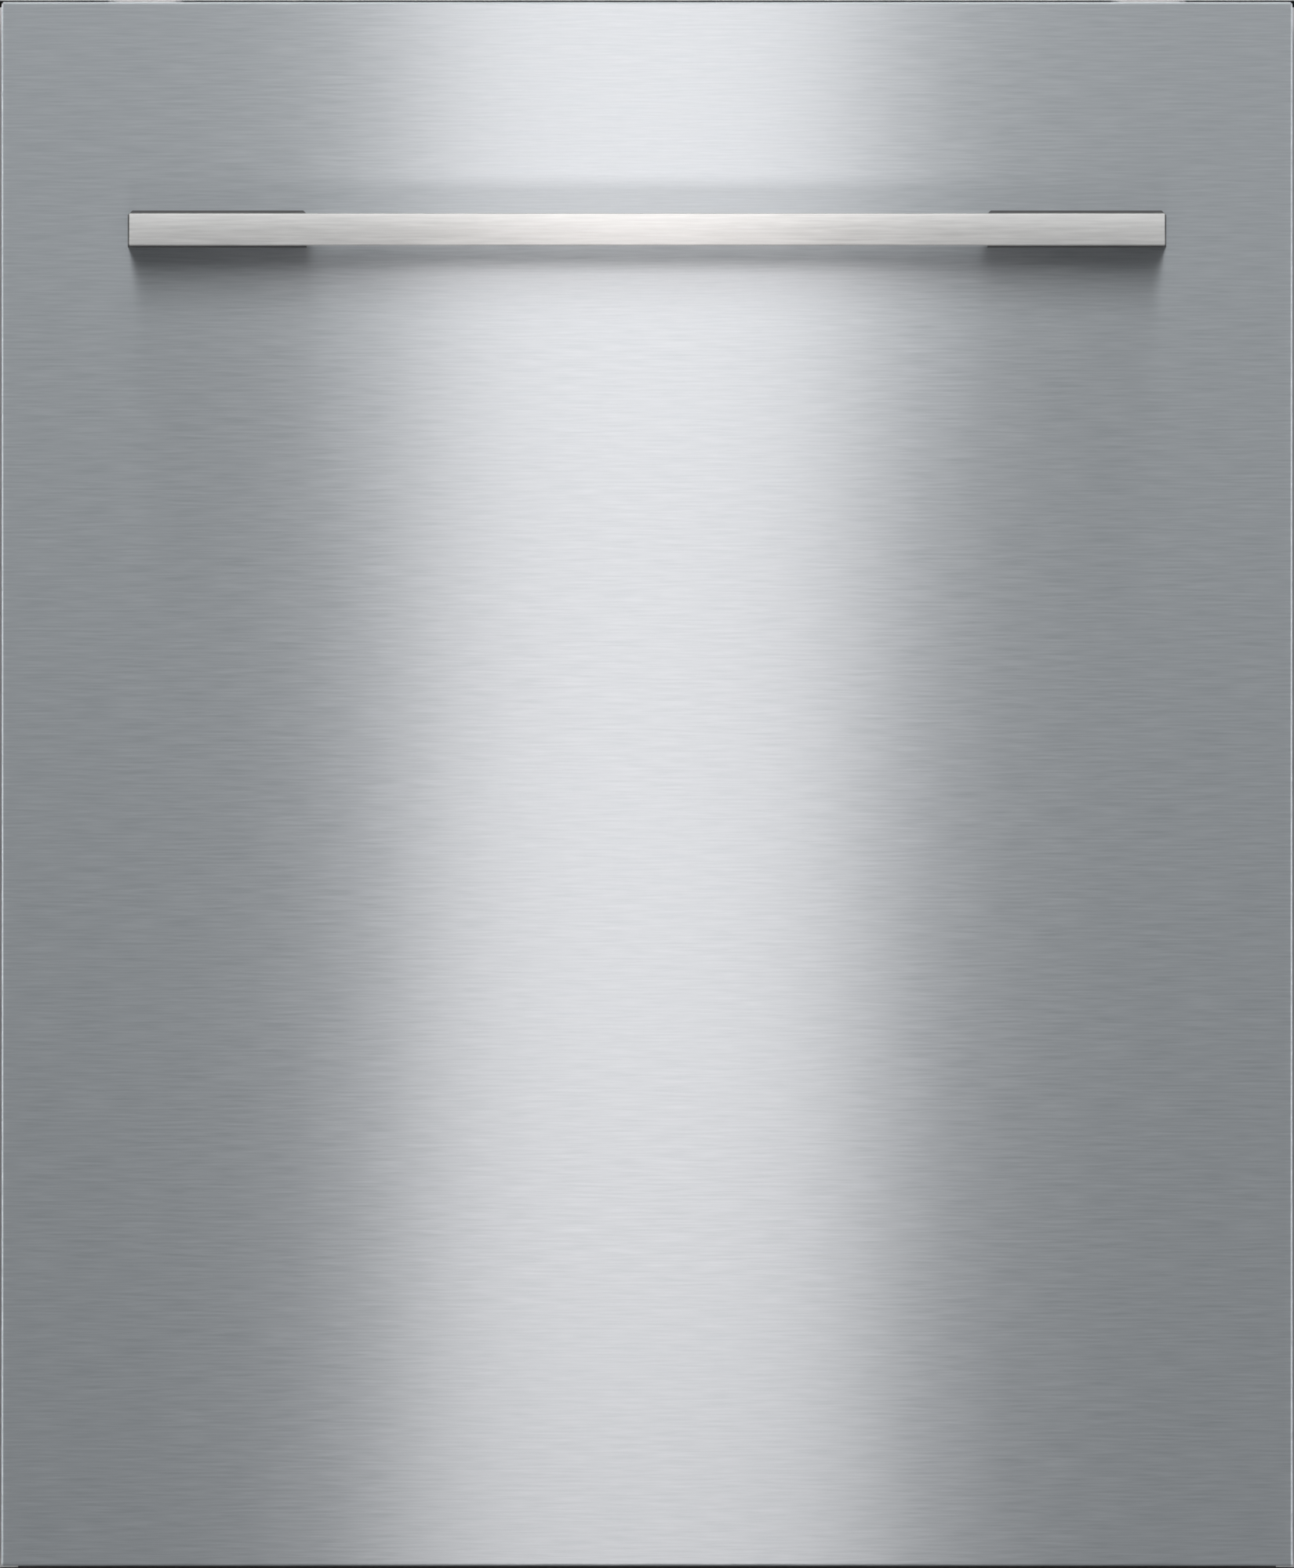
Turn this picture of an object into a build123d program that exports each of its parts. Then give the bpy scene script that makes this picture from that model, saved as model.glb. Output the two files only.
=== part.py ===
"""A 60 cm built-in dishwasher with a folded steel door front and a bar handle, in millimetres.

+Z is up, the door faces -Y, and +X is to the right of someone who stands in front of the door.
The origin is on the floor, below the middle of the whole box, handle included.
"""
import os

from build123d import *

os.makedirs("parts", exist_ok=True)

# Driving dimensions of the appliance and its door front
appliance_width = 598
appliance_height = 815
body_depth = 550
panel_width = 590
panel_height = 715
panel_depth = 20
panel_gap = 3
handle_reach = 38
handle_length = 474
handle_height = 14.7
handle_drop = 97
leg_length = 81.5
sheet = 1.0

# Depths that follow: the back of the machine, the door shell, the door front and the handle
back = (body_depth + panel_depth + handle_reach) / 2
shell_front = back - body_depth
panel_front = shell_front - panel_depth
handle_front = panel_front - handle_reach
panel_top = appliance_height - panel_gap
panel_bottom = panel_top - panel_height

# Door hinge axis, along X
hinge_y = -215
hinge_z = 118
hinge_pin_radius = 5
hinge_fit = 0.06

# Tub and the space it holds
tub_half = 272
tub_front = -190
tub_back = 282
tub_bottom = 150
tub_top = 792
tub_wall = 1.5
tub_corner = 24
tub_rear_round = 14.4
tub_floor = tub_bottom + tub_wall
tub_middle = (tub_bottom + tub_top) / 2
inner_half = tub_half - tub_wall

# Base tray
base_half = 297.6
base_front = -172
base_back = 300
base_bottom = 22
base_top = 95
base_wall = 3
base_floor = base_bottom + base_wall

# Feet and the posts that they screw into
front_foot = (230, -150)
rear_foot = (0, 250)
foot_bore = 5.6

# Spray arms turn on one upright line, and the sump is off to its side
arm_x, arm_y = 0, 48
sump_x, sump_y = 30, 10
filter_x, filter_y = 62, -18

# Racks: front and rear of both baskets, and wire radii
rack_front = -146
rack_rear = 240
thin_wire = 1.6
rim_wire = 2.2
weld_lap = 0.9
wire_sides = 6

# How far fused pieces run into each other, and how far a cutter stands clear of what it cuts
lap = 1


def save(builder, label):
    """Name a finished piece and write it."""
    builder.part.label = label
    export_step(builder.part, f"parts/{label}.step")


def depth_plane(y):
    """An upright plane at depth y that faces the front: x to the right, then up."""
    return Plane.XZ.offset(-y)


def block(x, y, z, mode=Mode.ADD):
    """Add a block to the part being built, or cut it away, from its limits along each axis."""
    with Locations(((x[0] + x[1]) / 2, (y[0] + y[1]) / 2, (z[0] + z[1]) / 2)):
        Box(x[1] - x[0], y[1] - y[0], z[1] - z[0], mode=mode)


# Tub: a deep-drawn steel box, open at the front, with a flange round its mouth
flange_half = 282
flange_bottom = 142
flange_top = 796
flange_sheet = 2
sump_hole = 108

with BuildPart() as tub:
    with BuildSketch(depth_plane(tub_back)):
        with Locations((0, tub_middle)):
            RectangleRounded(2 * tub_half, tub_top - tub_bottom, tub_corner)
    extrude(amount=tub_back - tub_front)
    fillet(tub.faces().sort_by(Axis.Y)[-1].edges(), tub_rear_round)
    offset(amount=-tub_wall, openings=tub.faces().sort_by(Axis.Y)[0])
    with BuildSketch(depth_plane(tub_front + flange_sheet)):
        with Locations((0, (flange_bottom + flange_top) / 2)):
            RectangleRounded(2 * flange_half, flange_top - flange_bottom, tub_corner)
        with Locations((0, tub_middle)):
            RectangleRounded(2 * tub_half - tub_wall, tub_top - tub_bottom - tub_wall,
                             tub_corner - tub_wall / 2, mode=Mode.SUBTRACT)
    extrude(amount=flange_sheet)
    with Locations((sump_x, sump_y, tub_bottom)):
        Cylinder(sump_hole, 4 * tub_wall, mode=Mode.SUBTRACT)
save(tub, "tub")

# Tub seal: a rubber bulb up both sides of the mouth and over its top
seal_outer = 280
seal_width = 7
seal_depth = 15
seal_round = 2.45
seal_end = 175
seal_top = flange_top - 2

with BuildPart() as tub_seal:
    with BuildSketch(depth_plane(tub_front)):
        with Locations((0, tub_middle)):
            RectangleRounded(2 * seal_outer, 2 * (seal_top - tub_middle), tub_corner)
            RectangleRounded(2 * (seal_outer - seal_width), 2 * (seal_top - seal_width - tub_middle),
                             tub_corner - seal_width, mode=Mode.SUBTRACT)
        with Locations((0, seal_end)):
            Rectangle(4 * seal_outer, 2 * (seal_end - flange_bottom), align=(Align.CENTER, Align.MAX),
                      mode=Mode.SUBTRACT)
    extrude(amount=seal_depth)
    fillet(tub_seal.faces().sort_by(Axis.Y)[0].edges().filter_by(GeomType.LINE), seal_round)
save(tub_seal, "tub_seal")

# Side panels: zinc-coated sheet with folded front and rear edges and three pressed beads
side_front = -186
side_back = 301
side_bottom = base_top
side_top = 811
side_flange = 9
bead_rise = 1.2
bead_width = 40
bead_length = 560
bead_spacing = 140

for side, s in (("left", -1), ("right", 1)):
    with BuildPart() as side_panel:
        with BuildSketch(Plane.XY.offset(side_bottom)):
            with Locations((s * (base_half - sheet / 2), (side_front + side_back) / 2)):
                Rectangle(sheet, side_back - side_front)
            with Locations((s * (base_half - side_flange / 2), side_front + sheet / 2),
                           (s * (base_half - side_flange / 2), side_back - sheet / 2)):
                Rectangle(side_flange, sheet)
        extrude(amount=side_top - side_bottom)
        bead_rows = [(side_front + side_back) / 2 + step * bead_spacing for step in (-1, 0, 1)]
        bead_middle = (side_bottom + side_top) / 2
        with BuildSketch(Plane.YZ.offset(s * base_half)):
            with Locations(*[(y, bead_middle) for y in bead_rows]):
                SlotOverall(bead_length, bead_width, rotation=90)
        extrude(amount=s * bead_rise)
        with BuildSketch(Plane.YZ.offset(s * (base_half - sheet))):
            with Locations(*[(y, bead_middle) for y in bead_rows]):
                SlotOverall(bead_length - 2 * sheet, bead_width - 2 * sheet, rotation=90)
        extrude(amount=s * bead_rise, mode=Mode.SUBTRACT)
    save(side_panel, f"side_panel_{side}")

# Rear panel: sheet over the back of the tub with a pressed field
rear_half = 296
rear_bottom = base_top + 2
field_inset = 70
field_corner = 30

with BuildPart() as rear_panel:
    with BuildSketch(depth_plane(side_back + sheet)):
        with Locations((0, (rear_bottom + side_top) / 2)):
            Rectangle(2 * rear_half, side_top - rear_bottom)
    extrude(amount=sheet)
    with BuildSketch(depth_plane(side_back + sheet + bead_rise)):
        with Locations((0, (rear_bottom + side_top) / 2)):
            RectangleRounded(2 * (rear_half - field_inset), side_top - rear_bottom - 2 * field_inset,
                             field_corner)
    extrude(amount=bead_rise)
    with BuildSketch(depth_plane(side_back + bead_rise)):
        with Locations((0, (rear_bottom + side_top) / 2)):
            RectangleRounded(2 * (rear_half - field_inset - sheet),
                             side_top - rear_bottom - 2 * (field_inset + sheet), field_corner - sheet)
    extrude(amount=bead_rise, mode=Mode.SUBTRACT)
save(rear_panel, "rear_panel")

# Top plate: a lid of sheet folded down along both sides and the back, open at the front
top_rim = 12
top_corner = 2
top_front = -188

with BuildPart() as top_plate:
    block((-appliance_width / 2, appliance_width / 2), (top_front, back),
          (appliance_height - top_rim, appliance_height))
    fillet(top_plate.edges().filter_by(Axis.Z).group_by(Axis.Y)[-1], top_corner)
    open_sides = [top_plate.faces().sort_by(Axis.Z)[0], top_plate.faces().sort_by(Axis.Y)[0]]
    offset(amount=-sheet, openings=open_sides)
save(top_plate, "top_plate")

# Front crossbar: a channel over the tub's mouth, with the tongue that the door latch grips
bar_front = -186
bar_back = -150
bar_top = 812
bar_half = 276
bar_sheet = 1.5
tongue_half = 14
tongue_front = -219
tongue_bottom = 796.6
tongue_top = 798.2
tongue_slot = (14, 10)
tongue_slot_y = -203.5

with BuildPart() as front_crossbar:
    block((-bar_half, bar_half), (bar_front, bar_back), (tub_top, bar_top))
    block((-bar_half, bar_half), (bar_front + bar_sheet, bar_back - bar_sheet),
          (tub_top, bar_top - bar_sheet), mode=Mode.SUBTRACT)
    with BuildSketch(Plane.XY.offset(tongue_bottom)):
        with Locations((0, (tongue_front + bar_front + bar_sheet) / 2)):
            Rectangle(2 * tongue_half, bar_front + bar_sheet - tongue_front)
        with Locations((0, tongue_slot_y)):
            Rectangle(*tongue_slot, mode=Mode.SUBTRACT)
    extrude(amount=tongue_top - tongue_bottom)
save(front_crossbar, "front_crossbar")

# Worktop brackets: two flat tabs on the crossbar, each with a hole for a screw into the worktop
tab_x = 230
tab_width = 34
tab_corner = 5
tab_front = -212
tab_back = -160
tab_hole_y = -202
tab_hole_radius = 2.75

with BuildPart() as worktop_brackets:
    with BuildSketch(Plane.XY.offset(bar_top)):
        with Locations((-tab_x, (tab_front + tab_back) / 2), (tab_x, (tab_front + tab_back) / 2)):
            RectangleRounded(tab_width, tab_back - tab_front, tab_corner)
        with Locations((-tab_x, tab_hole_y), (tab_x, tab_hole_y)):
            Circle(tab_hole_radius, mode=Mode.SUBTRACT)
    extrude(amount=bar_sheet)
save(worktop_brackets, "worktop_brackets")

# Base tray: moulded tray that carries the tub on four posts and takes the feet and the water fittings
base_corner = 10
rib_x = 100
rib_half = 1.5
rib_rise = 3
post_radius = 12
rear_post = (230, 240)
fitting_z = 60
inlet_x = -150
drain_x = -220
mains_x = 150
inlet_thread = 13.2
drain_radius = 10
hose_room = 7
mains_size = (46, 30)
mains_corner = 4
mains_fit = 1
spring_x = 282
spring_back = 100
hook_half = 8
hook_gap = 10
hook_wall = 6
hook_top = 46

with BuildPart() as base_tray:
    with BuildSketch(Plane.XY.offset(base_bottom)):
        with Locations((0, (base_front + base_back) / 2)):
            RectangleRounded(2 * base_half, base_back - base_front, base_corner)
    extrude(amount=base_top - base_bottom)
    offset(amount=-base_wall, openings=base_tray.faces().sort_by(Axis.Z)[-1])
    posts = [(s * x, y) for s in (-1, 1) for x, y in (front_foot, rear_post)]
    with BuildSketch(Plane.XY.offset(base_bottom)):
        with Locations(*posts):
            Circle(post_radius)
    extrude(amount=tub_bottom - base_bottom)
    with BuildSketch(Plane.XY.offset(base_bottom)):
        with Locations(rear_foot):
            Circle(post_radius)
    extrude(amount=base_top - base_bottom)
    with BuildSketch(Plane.XY.offset(base_bottom)):
        with Locations((-front_foot[0], front_foot[1]), front_foot, rear_foot):
            Circle(foot_bore)
    extrude(amount=base_top - base_bottom - base_wall, mode=Mode.SUBTRACT)
    for s in (-1, 1):
        block((s * rib_x - rib_half, s * rib_x + rib_half), (base_front + lap, base_back - lap),
              (base_bottom + lap, base_floor + rib_rise))
        block((s * spring_x - hook_half, s * spring_x + hook_half),
              (spring_back + hook_gap, spring_back + hook_gap + hook_wall), (base_floor - lap, hook_top))
    with BuildSketch(depth_plane(base_back + lap)):
        with Locations((inlet_x, fitting_z)):
            Circle(inlet_thread + hose_room)
        with Locations((drain_x, fitting_z)):
            Circle(drain_radius + hose_room)
        with Locations((mains_x, fitting_z)):
            RectangleRounded(mains_size[0] + mains_fit, mains_size[1] + mains_fit, mains_corner)
    extrude(amount=base_wall + 2 * lap, mode=Mode.SUBTRACT)
save(base_tray, "base_tray")

# Kick plate: folded sheet below the door, set back far enough for the door front to swing over it
kick_front = -184
kick_half = 289
kick_bottom = 14
kick_top = 100
kick_sheet = 1.5
kick_returns = (30, 86)
kick_screw_x = 240
kick_screw_z = 58
kick_hole = 2.3

with BuildPart() as kick_plate:
    with BuildSketch(Plane.YZ.offset(-kick_half)):
        with Locations((kick_front, kick_bottom)):
            Rectangle(kick_sheet, kick_top - kick_bottom, align=(Align.MIN, Align.MIN))
        with Locations(*[(kick_front, z) for z in kick_returns]):
            Rectangle(base_front - kick_front, kick_sheet, align=(Align.MIN, Align.CENTER))
    extrude(amount=2 * kick_half)
    with BuildSketch(depth_plane(kick_front + kick_sheet + lap)):
        with Locations((-kick_screw_x, kick_screw_z), (kick_screw_x, kick_screw_z)):
            Circle(kick_hole)
    extrude(amount=kick_sheet + 2 * lap, mode=Mode.SUBTRACT)
save(kick_plate, "kick_plate")

# Hinge brackets: a plate at each side that stands in the base and is tied to the tub, with the headed pin
# that the door turns on riveted through its nose
bracket_inner = 283.5
bracket_plate = 4
bracket_y = (-168, -128)
bracket_top = 190
bracket_corner = 4
bracket_nose = 12
bracket_slot = (50, 16)
bracket_slot_z = 70
tie_y = (-160, -140)
tie_z = (bracket_top - 14, bracket_top - 11)
pin_inner = 278.6
pin_head = 8.5
pin_head_height = 2.5

with BuildPart() as hinge_brackets:
    for s in (-1, 1):
        with BuildSketch(Plane.YZ.offset(s * bracket_inner)):
            with Locations((sum(bracket_y) / 2, (base_floor + bracket_top) / 2)):
                RectangleRounded(bracket_y[1] - bracket_y[0], bracket_top - base_floor, bracket_corner)
            with Locations(((hinge_y + bracket_y[1]) / 2 - bracket_nose / 2, hinge_z)):
                SlotOverall(bracket_y[1] - hinge_y + bracket_nose, 2 * bracket_nose)
            with Locations((sum(bracket_y) / 2, bracket_slot_z)):
                SlotOverall(*bracket_slot, rotation=90, mode=Mode.SUBTRACT)
        extrude(amount=s * bracket_plate)
        block(sorted((s * tub_half, s * (bracket_inner + lap))), tie_y, tie_z)
        with BuildSketch(Plane.YZ.offset(s * pin_inner)):
            with Locations((hinge_y, hinge_z)):
                Circle(hinge_pin_radius)
        extrude(amount=s * (bracket_inner + bracket_plate + lap - pin_inner))
        with BuildSketch(Plane.YZ.offset(s * (bracket_inner + bracket_plate))):
            with Locations((hinge_y, hinge_z)):
                Circle(pin_head)
        extrude(amount=s * pin_head_height)
save(hinge_brackets, "hinge_brackets")

# Door springs: closed-wound tension springs that balance the door, hooked to the brackets and the base
spring_radius = 8
spring_clearance = 0.3
spring_z = base_floor + spring_radius + spring_clearance
spring_front = -100
spring_rod = 1.6
rod_offset = 3

with BuildPart() as door_springs:
    for s in (-1, 1):
        with BuildSketch(depth_plane(spring_back)):
            with Locations((s * spring_x, spring_z)):
                Circle(spring_radius)
        extrude(amount=spring_back - spring_front)
        with BuildSketch(depth_plane(spring_back + hook_gap)):
            with Locations((s * (spring_x + rod_offset), spring_z)):
                Circle(spring_rod)
        extrude(amount=spring_back + hook_gap - bracket_y[1])
save(door_springs, "door_springs")

# Counterweight: a cast block in the rear of the base that keeps the open machine on its feet, grooved over
# the base's rib and cut away round the mains inlet
weight_x = (24, 210)
weight_y = (196, 290)
weight_z = (base_floor + rib_rise, 112)
weight_chamfer = 8
weight_round = 3
groove_room = 0.5
mains_room = 8
mains_reach = 60

with BuildPart() as counterweight:
    block(weight_x, weight_y, weight_z)
    chamfer(counterweight.edges().filter_by(Axis.Z), weight_chamfer)
    fillet(counterweight.faces().sort_by(Axis.Z)[-1].edges(), weight_round)
    block((rib_x - rib_half - groove_room, rib_x + rib_half + groove_room),
          (weight_y[0] - lap, weight_y[1] + lap), (weight_z[0] - lap, weight_z[0] + lap), mode=Mode.SUBTRACT)
    with Locations((mains_x, weight_y[1], fitting_z)):
        Box(mains_size[0] + mains_room, mains_reach, mains_size[1] + mains_room, mode=Mode.SUBTRACT)
save(counterweight, "counterweight")

# Cabinet screws: pan heads round the rear panel and at both ends of the kick plate
screw_head = 4.5
screw_rise = 1.8
rear_screw_x = 288
rear_screw_rows = 4
rear_screw_pitch = 220

with BuildPart() as cabinet_screws:
    with BuildSketch(depth_plane(side_back + sheet + screw_rise)):
        with Locations((0, (rear_bottom + side_top) / 2)):
            with GridLocations(2 * rear_screw_x, rear_screw_pitch, 2, rear_screw_rows):
                Circle(screw_head)
    extrude(amount=screw_rise)
    with BuildSketch(depth_plane(kick_front)):
        with Locations((-kick_screw_x, kick_screw_z), (kick_screw_x, kick_screw_z)):
            Circle(screw_head)
    extrude(amount=screw_rise)
save(cabinet_screws, "cabinet_screws")

# Sump: moulded bowl under the tub floor with the post that feeds the lower spray arm
sump_flange = 118
sump_top_radius = 104
sump_low_radius = 73
sump_wall = 3
sump_low = 84
sump_rim = 6
sump_step = 4
sump_slope = 10
pump_z = 88
pump_reach = 120
pump_spout = 16
pump_spout_z = 100
drain_pump_z = 100
drain_reach = 118
drain_spout = 12
spout_length = 40
arm_post = 12
arm_spigot = 8
arm_shoulder = 159.4
arm_spigot_top = 173

with BuildPart() as sump:
    with BuildSketch(Plane((sump_x, sump_y, 0), (1, 0, 0), (0, -1, 0))):
        with BuildLine():
            Polyline((0, sump_low), (sump_low_radius - sump_slope, sump_low),
                     (sump_low_radius, sump_low + sump_slope), (sump_top_radius, tub_bottom - sump_step),
                     (sump_top_radius, tub_bottom), (sump_flange, tub_bottom),
                     (sump_flange, tub_bottom - sump_rim),
                     (sump_top_radius + sump_wall, tub_bottom - sump_rim),
                     (sump_low_radius + sump_wall, sump_low + sump_slope),
                     (sump_low_radius - sump_slope + sump_wall, sump_low - sump_wall),
                     (0, sump_low - sump_wall), close=True)
        make_face()
    revolve(axis=Axis((sump_x, sump_y, 0), (0, 0, 1)))
    with Locations((arm_x, arm_y, sump_low - lap)):
        Cylinder(arm_post, arm_shoulder - sump_low + lap, align=(Align.CENTER, Align.CENTER, Align.MIN))
        Cylinder(arm_spigot, arm_spigot_top - sump_low + lap, align=(Align.CENTER, Align.CENTER, Align.MIN))
    for s, reach, z, radius in ((1, pump_reach, pump_spout_z, pump_spout),
                                (-1, drain_reach, drain_pump_z, drain_spout)):
        with BuildSketch(Plane.YZ.offset(sump_x + s * reach)):
            with Locations((sump_y, z)):
                Circle(radius)
        extrude(amount=-s * spout_length)
save(sump, "sump")

# Filter plate: a fine sieve over the sump with holes for the filter cup and the spray arm post
plate_sheet = 2
plate_lap = 5
cup_radius = 30
cup_room = 1.5
post_room = 0.5
sieve_slot = (22, 4)
sieve_slots = 12
sieve_ring = 92
sieve_start = 195
sieve_span = 170

with BuildPart() as filter_plate:
    with BuildSketch(Plane.XY.offset(tub_floor)):
        with Locations((sump_x, sump_y)):
            Circle(sump_hole + plate_lap)
        with Locations((filter_x, filter_y)):
            Circle(cup_radius + cup_room, mode=Mode.SUBTRACT)
        with Locations((arm_x, arm_y)):
            Circle(arm_post + post_room, mode=Mode.SUBTRACT)
        with Locations((sump_x, sump_y)):
            with PolarLocations(sieve_ring, sieve_slots, start_angle=sieve_start, angular_range=sieve_span):
                Rectangle(*sieve_slot, mode=Mode.SUBTRACT)
    extrude(amount=plate_sheet)
save(filter_plate, "filter_plate")

# Filter cup: a bayonet cup with a grip bar across its mouth, lifted out after a quarter turn
cup_bottom = 98
cup_rim_top = 157.5
cup_rim_low = 154
cup_rim = 36
cup_wall = 2
grip_width = 5
grip_height = 10

with BuildPart() as filter_cup:
    with BuildSketch(Plane((filter_x, filter_y, 0), (1, 0, 0), (0, -1, 0))):
        with BuildLine():
            Polyline((0, cup_bottom), (cup_radius, cup_bottom), (cup_radius, cup_rim_low),
                     (cup_rim, cup_rim_low), (cup_rim, cup_rim_top), (cup_radius - cup_wall, cup_rim_top),
                     (cup_radius - cup_wall, cup_bottom + cup_wall), (0, cup_bottom + cup_wall), close=True)
        make_face()
    revolve(axis=Axis((filter_x, filter_y, 0), (0, 0, 1)))
    with Locations((filter_x, filter_y, cup_rim_top - grip_height / 2)):
        Box(2 * cup_radius - cup_wall, grip_width, grip_height)
save(filter_cup, "filter_cup")

# Circulation pump with its flow heater: volute, motor and end cap turned on one line, on a rubber foot
pump_x = sump_x + pump_reach
volute_radius = 50
volute_edge = 6
volute_length = 34
motor_radius = 40
motor_x = (40, 106)
motor_edge = 12
pump_foot_x = (pump_x + 55, pump_x + 90)
pump_foot_half = 25
pump_foot_top = 68
outlet_x = pump_x + 20
outlet_y = sump_y + 30
outlet_radius = 11
outlet_height = 56

with BuildPart() as circulation_pump:
    with BuildSketch(Plane((pump_x, sump_y, pump_z), (1, 0, 0), (0, -1, 0))):
        with BuildLine():
            Polyline((0, 0), (0, volute_radius - volute_edge), (volute_edge, volute_radius),
                     (volute_length, volute_radius), (motor_x[0], motor_radius), (motor_x[1], motor_radius),
                     (motor_x[1] + motor_edge, motor_radius - motor_edge), (motor_x[1] + motor_edge, 0),
                     close=True)
        make_face()
    revolve(axis=Axis((pump_x, sump_y, pump_z), (1, 0, 0)))
    block(pump_foot_x, (sump_y - pump_foot_half, sump_y + pump_foot_half), (base_floor, pump_foot_top))
    with Locations((outlet_x, outlet_y, pump_z)):
        Cylinder(outlet_radius, outlet_height, align=(Align.CENTER, Align.CENTER, Align.MIN))
save(circulation_pump, "circulation_pump")

# Drain pump: a small motor on the other side of the sump, on its own foot
drain_pump_x = sump_x - drain_reach
impeller_radius = 26
impeller_length = 20
coil_radius = 32
coil_x = (-24, -58)
bearing_radius = 12
bearing_x = (-62, -74)
drain_foot_x = (drain_pump_x - 52, drain_pump_x - 28)
drain_foot_half = 18
drain_foot_top = 80

with BuildPart() as drain_pump:
    with BuildSketch(Plane((drain_pump_x, sump_y, drain_pump_z), (1, 0, 0), (0, -1, 0))):
        with BuildLine():
            Polyline((0, 0), (0, impeller_radius), (-impeller_length, impeller_radius),
                     (coil_x[0], coil_radius), (coil_x[1], coil_radius), (bearing_x[0], bearing_radius),
                     (bearing_x[1], bearing_radius), (bearing_x[1], 0), close=True)
        make_face()
    revolve(axis=Axis((drain_pump_x, sump_y, drain_pump_z), (1, 0, 0)))
    block(drain_foot_x, (sump_y - drain_foot_half, sump_y + drain_foot_half), (base_floor, drain_foot_top))
save(drain_pump, "drain_pump")

# Inlet valve: a solenoid valve with the threaded spigot for the supply hose
spigot_wall = 3.5
spigot_length = 16
valve_collar_y = back - 14
valve_collar = 18
valve_collar_length = 20
valve_y = (back - 76, back - 33)
valve_z = (fitting_z - 18, fitting_z + 26)
valve_half = 20
valve_foot_y = (back - 70, back - 40)
valve_foot_half = 14

with BuildPart() as inlet_valve:
    with BuildSketch(depth_plane(back)):
        with Locations((inlet_x, fitting_z)):
            Circle(inlet_thread)
            Circle(inlet_thread - spigot_wall, mode=Mode.SUBTRACT)
    extrude(amount=spigot_length)
    with BuildSketch(depth_plane(valve_collar_y)):
        with Locations((inlet_x, fitting_z)):
            Circle(valve_collar)
    extrude(amount=valve_collar_length)
    block((inlet_x - valve_half, inlet_x + valve_half), valve_y, valve_z)
    block((inlet_x - valve_foot_half, inlet_x + valve_foot_half), valve_foot_y,
          (base_floor, valve_z[0] + lap))
save(inlet_valve, "inlet_valve")

# Drain spigot: the stub that the waste hose slides over, with a flange on a small foot
drain_bore = 6.5
drain_edge = 1
drain_flange = 16
drain_flange_y = (18, 26)
stub_foot_half = 10
stub_foot_y = (back - 26, back - 20)
stub_foot_top = 46

with BuildPart() as drain_spigot:
    with BuildSketch(Plane((drain_x, back, fitting_z), (0, -1, 0), (1, 0, 0))):
        with BuildLine():
            Polyline((0, drain_bore), (0, drain_radius - drain_edge), (drain_edge, drain_radius),
                     (drain_flange_y[0], drain_radius), (drain_flange_y[0], drain_flange),
                     (drain_flange_y[1], drain_flange), (drain_flange_y[1], drain_bore), close=True)
        make_face()
    revolve(axis=Axis((drain_x, back, fitting_z), (0, -1, 0)))
    block((drain_x - stub_foot_half, drain_x + stub_foot_half), stub_foot_y, (base_floor, stub_foot_top))
save(drain_spigot, "drain_spigot")

# Mains inlet: a recessed three-blade appliance socket in the base's rear wall
mains_face = base_back + 2
mains_depth = 34
socket_size = (28, 18)
socket_depth = 18
blade_spots = [(-8, -3), (8, -3), (0, 3)]
blade_half = (1, 2.5)
blade_y = (base_back - 17, base_back - 4)

with BuildPart() as mains_inlet:
    with BuildSketch(depth_plane(mains_face)):
        with Locations((mains_x, fitting_z)):
            RectangleRounded(*mains_size, mains_corner)
    extrude(amount=mains_depth)
    with BuildSketch(depth_plane(mains_face)):
        with Locations((mains_x, fitting_z)):
            RectangleRounded(*socket_size, mains_corner)
    extrude(amount=socket_depth, mode=Mode.SUBTRACT)
    for x, z in blade_spots:
        block((mains_x + x - blade_half[0], mains_x + x + blade_half[0]), blade_y,
              (fitting_z + z - blade_half[1], fitting_z + z + blade_half[1]))
save(mains_inlet, "mains_inlet")

# Side water tank: a flat moulded tank with labyrinth ribs between the tub and the left side panel
tank_x = (-295, -tub_half)
tank_y = (-90, 200)
tank_z = (260, 690)
tank_corner = 30
channel_count = 5
channel_first = tank_z[0] + 60
channel_pitch = 78
channel_shift = 12
channel_margin = 60
channel_width = 20
channel_depth = 6

with BuildPart() as side_water_tank:
    with BuildSketch(Plane.YZ.offset(tank_x[0])):
        with Locations((sum(tank_y) / 2, sum(tank_z) / 2)):
            RectangleRounded(tank_y[1] - tank_y[0], tank_z[1] - tank_z[0], tank_corner)
    extrude(amount=tank_x[1] - tank_x[0])
    with BuildSketch(Plane.YZ.offset(tank_x[0])):
        for row in range(channel_count):
            shift = channel_shift if row % 2 else -channel_shift
            with Locations((sum(tank_y) / 2 + shift, channel_first + row * channel_pitch)):
                SlotOverall(tank_y[1] - tank_y[0] - channel_margin, channel_width)
    extrude(amount=channel_depth, mode=Mode.SUBTRACT)
save(side_water_tank, "side_water_tank")

# Feed tube: a duct up the tub's rear wall and along its ceiling, with the docking port for the upper
# arm and the fixed shower over the upper rack
duct_half = 15
duct_corner = 6
duct_y = (250, 267)
ceiling_duct = (tub_top - tub_wall - 16, tub_top - tub_wall)
dock_z = 444.7
dock_front = 246
dock_radius = 10
shower_radius = 42
shower_neck = 14
shower_drop = (10, 14, 18, 24)

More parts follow.
